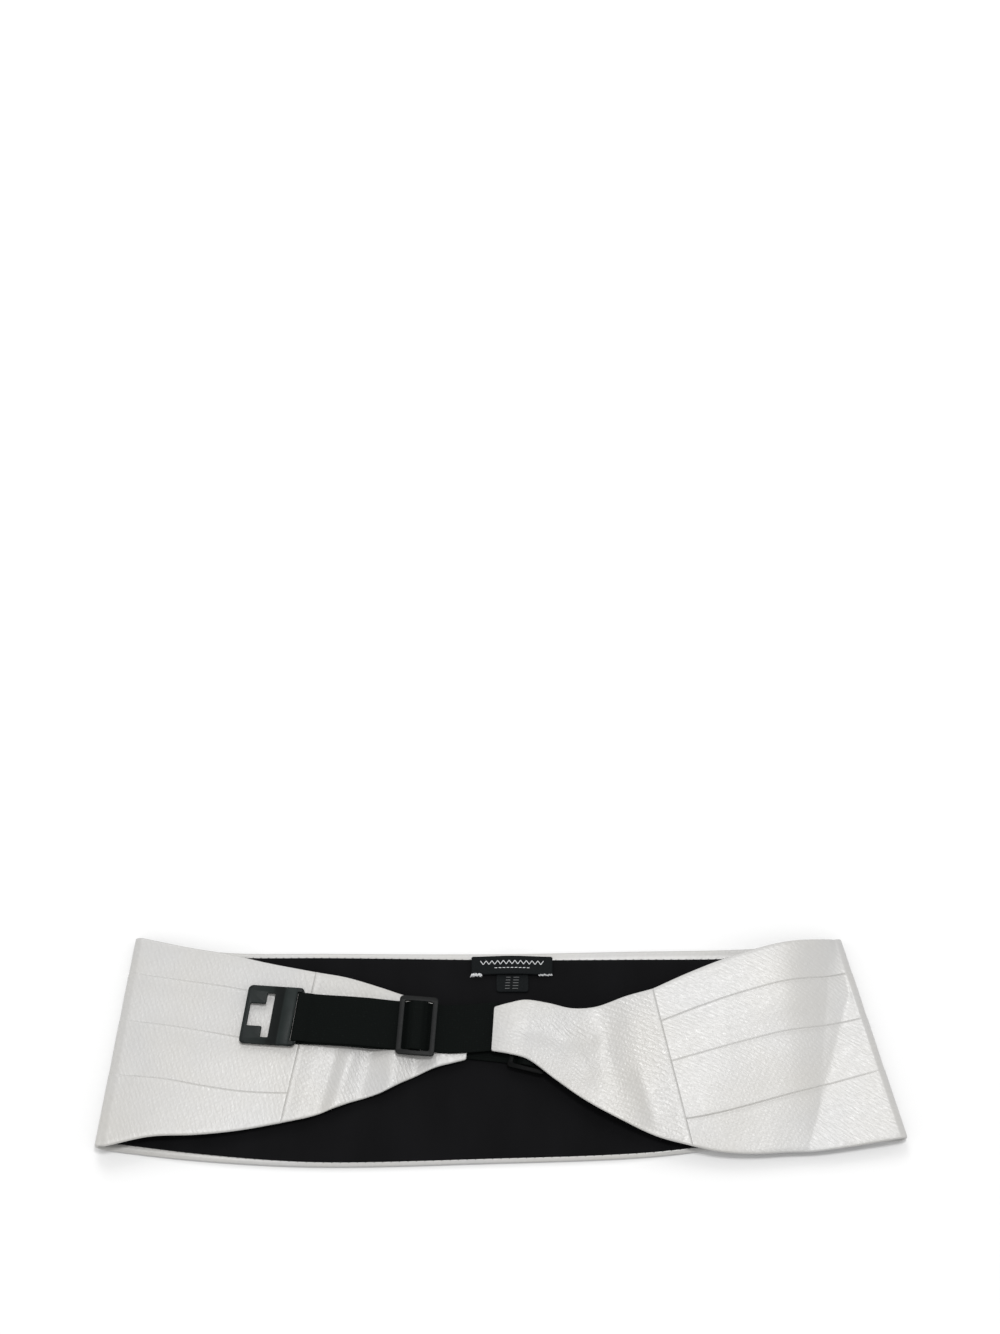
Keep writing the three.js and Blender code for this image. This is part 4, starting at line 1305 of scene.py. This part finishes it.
def lining_mesh(settings):
    """The lining, and its flat width and length."""
    lines, side, nearness = trimmed_band(2)
    width = widths(lines)
    top, bottom = hems(lines)
    inner = LINING_BORDER[-1][0]
    section = Section(len(width))
    for aside, height in LINING_BORDER:
        section.column(top + aside, height)
    section.run(top + inner, width - bottom - inner, np.linspace(0, 1, 36)[1:-1], LINING_FACE)
    for aside, height in LINING_BORDER[::-1]:
        section.column(width - bottom - aside, height)
    section.run(0, width, np.linspace(0.94, 0.06, 10), LINING_BACK)
    distances, heights = section.arrays()
    shares = distances / width[:, None]
    lift = wing_relief(lines, side, nearness, shares, settings.relief)
    billow = np.where(heights < -1, ripples(across(lines, shares), *LINING_RIPPLES), 0)
    points, _ = on_surface(lines, shares, heights + lift + billow)
    mesh = ring_mesh("lining_cloth", points, weave_map(lines, shares, 0))
    return mesh, float((width - top - bottom).mean()), float(np.ptp(middle_run(lines)))


def corner_cut(radius, distance):
    """How far a rounded corner cuts in, at a distance from the end."""
    return radius - np.sqrt(np.maximum(0, radius**2 - np.maximum(0, radius - distance) ** 2))


def end_panel_mesh(name, lines, folds, grain, settings, toward_tip):
    """A plain end panel with rounded edges, soft folds and rounded corners at its tip."""
    lines = with_close_ends(lines[:, ::toward_tip])
    width, run = widths(lines), middle_run(lines)
    reach = np.abs(run - run[-1 if toward_tip > 0 else 0])
    cut = corner_cut(TIP_CORNER, reach)
    first, last = cut + END_EDGE_RADIUS, width - cut - END_EDGE_RADIUS
    section = Section(len(width))
    section.edge(1, cut, END_EDGE_RADIUS)
    section.run(first, last, np.linspace(0, 1, 42)[1:-1], END_CLOTH_WALL)
    section.edge(-1, width - cut, END_EDGE_RADIUS)
    section.run(first, last, np.linspace(1, 0, 18)[1:-1], 0)
    distances, heights = section.arrays()
    shares, middle = distances / width[:, None], END_CLOTH_WALL / 2
    heights = middle + (heights - middle) * pinch(len(width)) + END_LIFT
    base = across(lines, shares)
    lift = (fold_relief(folds, base) + ripples(base, *WING_RIPPLES)) * settings.relief
    from_ridge = (reach.max() - reach - SEAM_RIDGE_AT) / SEAM_RIDGE_WIDTH
    ridge = SEAM_RIDGE * np.exp(-(from_ridge**2))[:, None] * (heights > middle + 0.3)
    points, _ = on_surface(lines, shares, heights + lift + ridge)
    return ring_mesh(name, points, weave_map(lines, shares, grain))


# Fittings


def mirrored(points):
    """Points and their mirror images across the middle, back to the start."""
    return [*points, *[(x, -y) for x, y in points[::-1]]]


def softened(corners, radius):
    """An outline with each corner turned by a short arc of a few points."""
    points = np.array(corners, float)
    outline = []
    for before, here, after in zip(np.roll(points, 1, axis=0), points, np.roll(points, -1, axis=0)):
        into, away = unit(before - here), unit(after - here)
        for share in np.linspace(0, 1, 5):
            outline.append(here + into * radius * (1 - share) ** 2 + away * radius * share**2)
    return outline


def slider_mesh(name, edge):
    """A frame with rounded corners and a thinner bar across its middle."""
    half, side, bar_half = SLIDER_LENGTH / 2, HARDWARE_WIDTH / 2, MIDDLE_BAR_WIDTH / 2
    reach = OPENING + RAIL_WIDTH / 2
    outer = round_rect(-half, -side, half, side, SLIDER_ROUND)
    window = round_rect(-half + SLIDER_BAR, -OPENING, half - SLIDER_BAR, OPENING, WINDOW_ROUND)
    bar = round_rect(-bar_half, -reach, bar_half, reach, BAR_ROUND)
    return united(name, [
        rounded_plate([outer, window], BAR_BASE, BAR_BASE + SLIDER_WALL, edge),
        rounded_plate([bar], BAR_BASE + OVERLAP, BAR_BASE + MIDDLE_BAR_WALL, edge),
    ])


def strap_end_outline(length, free_round):
    """A plate's outline from its end bar to its free edge, with cut corners at the bar."""
    side, start = HARDWARE_WIDTH / 2, -END_BAR_WIDTH / 2
    free = arc(length - free_round, -side + free_round, free_round, -90, 0, 6)
    shoulder = (start + CUT_CORNER * 0.4, side - CUT_CORNER * 0.3)
    bar = [(start + CUT_CORNER, side), shoulder, (start, side - CUT_CORNER)]
    return mirrored(free) + mirrored(bar)


def strap_slot():
    """The slot between a fitting's end bar and its plate."""
    return round_rect(END_BAR_WIDTH / 2, -OPENING, SLOT_END, OPENING, SLOT_ROUND)


def clasp_mesh(edge):
    """The plate with its T-shaped slot, the raised bar across it, two rails and a fine rim."""
    bar_end = SLOT_END + CLASP_BAR
    web_start = bar_end + CLASP_SLOPE
    cross_start = web_start + CLASP_WEB
    mouth_start = cross_start + CROSS_SLOT_LENGTH
    mouth_end = mouth_start + MOUTH_LENGTH
    low, high, side = END_BAR_BASE, END_BAR_BASE + PLATE_WALL, HARDWARE_WIDTH / 2
    outer = strap_end_outline(mouth_end + CLASP_RIM, CLASP_ROUND)
    cross, mouth = CROSS_SLOT_WIDTH / 2, MOUTH_WIDTH / 2
    t_slot = softened(mirrored([
        (cross_start, -cross), (mouth_start, -cross), (mouth_start, -mouth), (mouth_end, -mouth),
    ]), SOFT_CORNER)
    solids = [rounded_plate([outer, strap_slot(), t_slot], low, high - PLATE_DROP, edge)]
    centre, reach = (SLOT_END + bar_end) / 2, CLASP_BAR / 2
    crown = [
        (centre + reach * math.cos(a), high + BAR_RISE * (CROWN_START + (1 - CROWN_START) * math.sin(a)))
        for a in np.radians(np.linspace(12, 168, 9))]
    profile = [
        (SLOT_END, low + BAR_FOOT), (web_start, low + BAR_FOOT), (web_start, high - BAR_SHOULDER),
        *crown, (SLOT_END, high),
    ]
    points, faces = rounded_plate([profile], -side + BAR_INSET, side - BAR_INSET, edge * 0.8)
    solids.append((np.stack([points[:, 0], -points[:, 2], points[:, 1]], axis=1), faces))
    for sign in (-1, 1):
        near, far = sorted((sign * (OPENING + 0.05), sign * (side - RAIL_INSET)))
        rail = round_rect(-END_BAR_WIDTH / 2 + RAIL_START, near, SLOT_END + 1, far, BAR_ROUND)
        solids.append(rounded_plate([rail], high - RAIL_FOOT, high + BAR_RISE * RAIL_RISE, edge))
    rim = [
        *inset(outer, RIM_OUTER)[:FREE_EDGE_POINTS], *inset(outer, RIM_INNER)[:FREE_EDGE_POINTS][::-1]]
    solids.append(rounded_plate([rim], high - RAIL_FOOT, high + RIM_RISE, RIM_EDGE))
    return united("clasp_plate", solids)


def hook_mesh(edge):
    """The plate with a T-shaped tongue."""
    frame_end = SLOT_END + HOOK_FRAME
    neck_end = frame_end + HOOK_NECK_LENGTH
    head_end = neck_end + HOOK_HEAD_LENGTH
    low, high = END_BAR_BASE, END_BAR_BASE + PLATE_WALL
    neck, head = HOOK_NECK_WIDTH / 2, HOOK_HEAD_WIDTH / 2
    tongue = mirrored([(frame_end - 2, -neck), (neck_end, -neck), (neck_end, -head), (head_end, -head)])
    return united("hook_plate", [
        rounded_plate([strap_end_outline(frame_end, HOOK_ROUND), strap_slot()], low, high, edge),
        rounded_plate([softened(tongue, SOFT_CORNER)], low + OVERLAP, high - OVERLAP, edge),
    ])


# Labels


def label_mesh(name, centre_x, top_y, length, width, arch, base, wall, corner=0.6, wave=0.0):
    """A ribbon that arches between its two ends, with soft corners and edges."""
    shares = np.linspace(0, 1, 61)
    x = centre_x + (shares - 0.5) * length
    lift = base + arch * np.sin(math.pi * shares) ** 2
    end = np.minimum(shares, 1 - shares) * length
    cut = corner_cut(corner, end)
    top = top_y - cut
    bottom = top_y - width + cut
    columns = np.linspace(0, 1, 15)
    edge = np.minimum(columns, 1 - columns) * width
    thin = np.sqrt(np.clip(edge / 0.3, 0.15, 1))
    rings = []
    for side, order in ((1, slice(None)), (-1, slice(None, None, -1))):
        for share, kept in zip(columns[order], thin[order]):
            y = top + (bottom - top) * share
            curl = wave * np.sin(3 * math.pi * shares + 4 * share)
            rings.append(np.stack([x, y, lift + wall / 2 + curl + side * kept * wall / 2], axis=1))
    rings = np.array(rings).transpose(1, 0, 2) + SHIFT
    return ring_mesh(name, rings, rings[..., :2] * MM)


def label_threads(top_y, base, wall):
    """The tacks and the plain woven marks of both labels: each one's place, turn in degrees and
    length."""
    draw = np.random.default_rng(3)
    tacks, marks, faint = [], [], []
    for middle, span, length in TACKS:
        for k in range(TACK_COUNT):
            x = LABEL_X + middle + (k / (TACK_COUNT - 1) - 0.5) * span
            y = top_y - LABEL_WIDTH - 0.2 + draw.uniform(-0.3, 0.3)
            turn = 90 + draw.uniform(-45, 45)
            tacks.append((x, y, base + wall + 0.45, turn, length * draw.uniform(0.7, 1.25)))
    for row in LABEL_MARKS:
        for k in range(row.count):
            along = row.first + row.pitch * k
            arch = LABEL_ARCH * math.sin(math.pi * (along / LABEL_LENGTH + 0.5)) ** 2
            over = base + LABEL_LIFT + wall + arch + 0.05
            turn = row.turn if k % 2 else -row.turn
            marks.append((LABEL_X + along, top_y - row.drop, over, turn, row.length))
    for row in range(CARE_ROWS):
        y = top_y - CARE_DROP - CARE_ROW_DROP - CARE_ROW_PITCH * row
        for at, length in CARE_ROW_MARKS:
            x = CARE_X + at - CARE_ROW_SLANT * row + length / 2
            faint.append((x, y, base + wall + 0.02, 0, length))
    return tacks, marks, faint


def label_stitches(name, threads, size, material):
    """A label's stitches, from each one's place, turn in degrees and length."""
    x, y, z, turn, length = np.array(threads, float).T
    turn = np.radians(turn)
    ahead = np.stack([np.cos(turn), np.sin(turn), np.zeros_like(turn)], axis=1)
    places = np.stack([x, y, z], axis=1) + SHIFT
    stitches(name, places, ahead, (0, 0, 1), length, size, material, "label_cloth")


# Operators


class MakePleatedCloth(bpy.types.Operator):
    """Makes the pleated white cloth"""

    bl_idname = "cummerbund.make_pleated_cloth"
    bl_label = "Pleated Cloth"

    def execute(self, context):
        settings = context.scene.cummerbund_band
        mesh, length = pleated_cloth(settings)
        material = white_cloth(settings, *PLEATED_TWILL)
        piece = make_piece("pleated_cloth_twill", mesh, material, "white_cloth", "pleated_cloth")
        return {"FINISHED"}


class MakeLining(bpy.types.Operator):
    """Makes the black lining"""

    bl_idname = "cummerbund.make_lining"
    bl_label = "Lining"

    def execute(self, context):
        settings = context.scene.cummerbund_band
        mesh, width, length = lining_mesh(settings)
        piece = make_piece("lining_cloth", mesh, black_lining(settings), "black_lining", "lining")
        return {"FINISHED"}


class MakeEndPanels(bpy.types.Operator):
    """Makes the two plain end panels"""

    bl_idname = "cummerbund.make_end_panels"
    bl_label = "End Panels"

    def execute(self, context):
        settings = context.scene.cummerbund_band
        shape = band()
        material = white_cloth(settings, *END_SATIN)
        for side, seam, toward_tip, rows, tip, level, folds, grain in (
            ("left", 0, -1, LEFT_END_ROWS, LEFT_TIP, LEFT_LEVEL, LEFT_FOLDS, LEFT_END_GRAIN),
            ("right", -1, 1, RIGHT_END_ROWS, RIGHT_TIP, RIGHT_LEVEL, RIGHT_FOLDS, RIGHT_END_GRAIN),
        ):
            lines = end_panel_lines(shape.lines[:, seam], rows, tip, level)
            name = f"{side}_end_twill"
            mesh = end_panel_mesh(name, lines, folds, grain, settings, toward_tip)
            piece = make_piece(name, mesh, material, "white_cloth", f"{side}_end_panel")
        return {"FINISHED"}


class MakeStraps(bpy.types.Operator):
    """Makes the two elastic straps"""

    bl_idname = "cummerbund.make_straps"
    bl_label = "Elastic Straps"

    def execute(self, context):
        settings = context.scene.cummerbund_straps
        material = black_elastic(settings)
        clasp_lie = (CLASP_SKEW, CLASP_SLIDER + SLIDER_LENGTH / 2, CLASP_REACH - FITTING_RISE, CLASP_DRIFT)
        hook_lie = (0, HOOK_SLIDER, HOOK_REACH, HOOK_DRIFT)
        for node, line, slider, reach, lie in (
            ("clasp_strap", clasp_line(), CLASP_SLIDER, CLASP_REACH, clasp_lie),
            ("hook_strap", hook_line(), HOOK_SLIDER, HOOK_REACH, hook_lie),
        ):
            name = f"{node}_elastic"
            mesh = strap_mesh(name, line, strap_path(slider, reach), settings.wall / MM, *lie)
            make_piece(name, mesh, material, "black_elastic", node)
        return {"FINISHED"}


class MakeFittings(bpy.types.Operator):
    """Makes the sliders, the clasp and the hook"""

    bl_idname = "cummerbund.make_fittings"
    bl_label = "Sliders, Clasp and Hook"

    def execute(self, context):
        settings = context.scene.cummerbund_fittings
        edge = settings.edge / MM
        slider = moulded_plastic("slider_plastic", settings.slider_colour, 0.1)
        # The hook's slider gets a darker copy of the slider plastic: painted shade.
        shaded_slider = moulded_plastic("shaded_slider_plastic", shade(settings.slider_colour, SHADED_SLIDER_SHARE), 0.03)
        # The clasp's colour carries painted light and shade along it: a lighter raised bar, a darker web
        # and end bar.
        clasp = moulded_plastic("clasp_plastic", settings.clasp_colour, 0.1, CLASP_PAINTED_SHADING)
        hook = moulded_plastic("hook_plastic", settings.clasp_colour)
        slant = math.tan(CLASP_SKEW)
        for node, name, mesh, line, at, shear, plastic, slot in (
            ("clasp_slider", "clasp_slider_frame", slider_mesh("clasp_slider", edge),
                clasp_line(), CLASP_SLIDER, 0, slider, "slider_plastic"),
            ("hook_slider", "hook_slider_frame", slider_mesh("hook_slider", edge),
                hook_line(), HOOK_SLIDER, 0, shaded_slider, "slider_plastic"),
            ("clasp", "clasp_plate", clasp_mesh(edge),
                clasp_line(), CLASP_REACH, slant, clasp, "clasp_plastic"),
            ("hook", "hook_plate", hook_mesh(edge), hook_line(), HOOK_REACH, 0, hook, "clasp_plastic"),
        ):
            make_piece(name, finish_fitting(mesh, line.matrix(at), shear), plastic, slot, node)
        return {"FINISHED"}


class MakeLabels(bpy.types.Operator):
    """Makes the two labels with their thread tacks and plain woven marks"""

    bl_idname = "cummerbund.make_labels"
    bl_label = "Labels"

    def execute(self, context):
        settings = context.scene.cummerbund_labels
        ribbon = label_ribbon(settings)
        wall, base = settings.wall / MM, BACK_FACE + GAP
        top_y = BACK_TOP * BAND_WIDTH - LABEL_INSET
        mesh = label_mesh(
            "label_ribbon", LABEL_X, top_y, LABEL_LENGTH, LABEL_WIDTH, LABEL_ARCH, base + LABEL_LIFT, wall)
        make_piece("label_ribbon", mesh, ribbon, "label_cloth", "label")
        mesh = label_mesh(
            "care_label_ribbon", CARE_X, top_y - CARE_DROP, CARE_LENGTH, CARE_WIDTH, 0, base, wall,
            CARE_CORNER, CARE_WAVE)
        make_piece("care_label_ribbon", mesh, ribbon, "label_cloth", "care_label")
        pale = thread("pale_thread", settings.thread_colour)
        grey = thread("grey_thread", shade(settings.thread_colour, GREY_SHARE))
        tacks, marks, faint = label_threads(top_y, base, wall)
        label_stitches("label_tacks", tacks, TACK, pale)
        label_stitches("label_marks", marks, MARK, pale)
        label_stitches("care_label_marks", faint, CARE_MARK, grey)
        return {"FINISHED"}


class MakeHemStitches(bpy.types.Operator):
    """Sews the lining to the turned hems with small black stitches"""

    bl_idname = "cummerbund.make_hem_stitches"
    bl_label = "Hem Stitches"

    def execute(self, context):
        lines, side, nearness = trimmed_band(4)
        width, run = widths(lines), middle_run(lines)
        top, bottom = hems(lines)
        spots = np.arange(run[0], run[-1], HEM_STITCH_PITCH)
        rows = []
        for share in (top / width, 1 - bottom / width):
            shares = share[:, None]
            lift = wing_relief(lines, side, nearness, shares, context.scene.cummerbund_band.relief)
            points, out = on_surface(lines, shares, lift + HEM_STITCH_HEIGHT)
            place, upright = (
                np.stack([np.interp(spots, run, values[:, 0, k]) for k in range(3)], axis=1)
                for values in (points, -out))
            upright, ahead = unit(upright), unit(np.gradient(place, axis=0))
            ahead = unit(ahead + HEM_STITCH_SLANT * np.cross(upright, ahead))
            rows.append((place, ahead, upright))
        threads = [np.concatenate(parts) for parts in zip(*rows)]
        material = thread("black_thread", HEM_THREAD_COLOUR)
        stitches("hem_stitches", *threads, HEM_STITCH_LENGTH, HEM_STITCH, material, "black_lining")
        return {"FINISHED"}


class MakeStage(bpy.types.Operator):
    """Makes the floor, the lights and the camera"""

    bl_idname = "cummerbund.make_stage"
    bl_label = "Studio Stage"

    def execute(self, context):
        settings = context.scene.cummerbund_stage
        half = settings.floor_size / 2
        mesh = bpy.data.meshes.new("studio_floor")
        corners = [(x * half, y * half, FLOOR_HEIGHT) for x, y in ((-1, -1), (1, -1), (1, 1), (-1, 1))]
        mesh.from_pydata(corners, [], [(0, 1, 2, 3)])
        material, tree, shader = new_material("studio_floor")
        dress(
            tree, shader, Base_Color=(*settings.floor_colour, 1), Roughness=0.8, Specular_IOR_Level=0.1)
        mesh.materials.append(material)
        floor = bpy.data.objects.new("studio_floor", mesh)
        context.scene.collection.objects.link(floor)
        for name, (place, size, power, share) in LAMPS.items():
            add_light(name, place, size, getattr(settings, power) * share)
        world = bpy.data.worlds.new("studio_sky")
        world.use_nodes = True
        sky = next(n for n in world.node_tree.nodes if n.type == "BACKGROUND")
        sky.inputs["Color"].default_value = (1, 1, 1, 1)
        sky.inputs["Strength"].default_value = settings.sky_strength
        context.scene.world = world
        context.scene.view_settings.view_transform = "Standard"
        add_camera(context.scene)
        return {"FINISHED"}


def add_light(name, place, size, power):
    """A round lamp that faces the middle of the object."""
    light = bpy.data.lights.new(name, "AREA")
    light.shape, light.size, light.energy = "DISK", size, power
    lamp = bpy.data.objects.new(name, light)
    lamp.location = place
    lamp.rotation_mode = "QUATERNION"
    lamp.rotation_quaternion = (-Vector(place)).to_track_quat("-Z", "Y")
    bpy.context.scene.collection.objects.link(lamp)


def add_camera(scene):
    """The photograph's view: nearly straight down, from a little in front."""
    data = bpy.data.cameras.new("photo_camera")
    data.lens, data.sensor_width = LENS, SENSOR
    camera = bpy.data.objects.new("photo_camera", data)
    camera.location = CAMERA_PLACE
    camera.rotation_euler = (math.radians(CAMERA_TILT), 0, 0)
    scene.collection.objects.link(camera)
    scene.camera = camera


OPERATORS = (
    MakePleatedCloth, MakeLining, MakeEndPanels, MakeStraps, MakeFittings, MakeLabels, MakeHemStitches,
    MakeStage,
)
GROUPS = {
    "cummerbund_band": BandSettings,
    "cummerbund_straps": StrapSettings,
    "cummerbund_fittings": FittingSettings,
    "cummerbund_labels": LabelSettings,
    "cummerbund_stage": StageSettings,
}


class CummerbundPanel(bpy.types.Panel):
    """Lists the pieces and their settings"""

    bl_label = "Cummerbund"
    bl_idname = "VIEW3D_PT_cummerbund"
    bl_space_type = "VIEW_3D"
    bl_region_type = "UI"
    bl_category = "Cummerbund"

    def draw(self, context):
        for name in GROUPS:
            box = self.layout.box()
            group = getattr(context.scene, name)
            for prop in group.bl_rna.properties:
                if prop.identifier not in ("rna_type", "name"):
                    box.prop(group, prop.identifier)
        for operator in OPERATORS:
            self.layout.operator(operator.bl_idname)


def register():
    for item in (*GROUPS.values(), *OPERATORS, CummerbundPanel):
        bpy.utils.register_class(item)
    for name, group in GROUPS.items():
        setattr(bpy.types.Scene, name, PointerProperty(type=group))


def unregister():
    for name in GROUPS:
        delattr(bpy.types.Scene, name)
    for item in (CummerbundPanel, *OPERATORS[::-1], *list(GROUPS.values())[::-1]):
        bpy.utils.unregister_class(item)


def main():
    register()
    for operator in OPERATORS:
        group, action = operator.bl_idname.split(".")
        getattr(getattr(bpy.ops, group), action)()


if __name__ == "__main__":
    main()
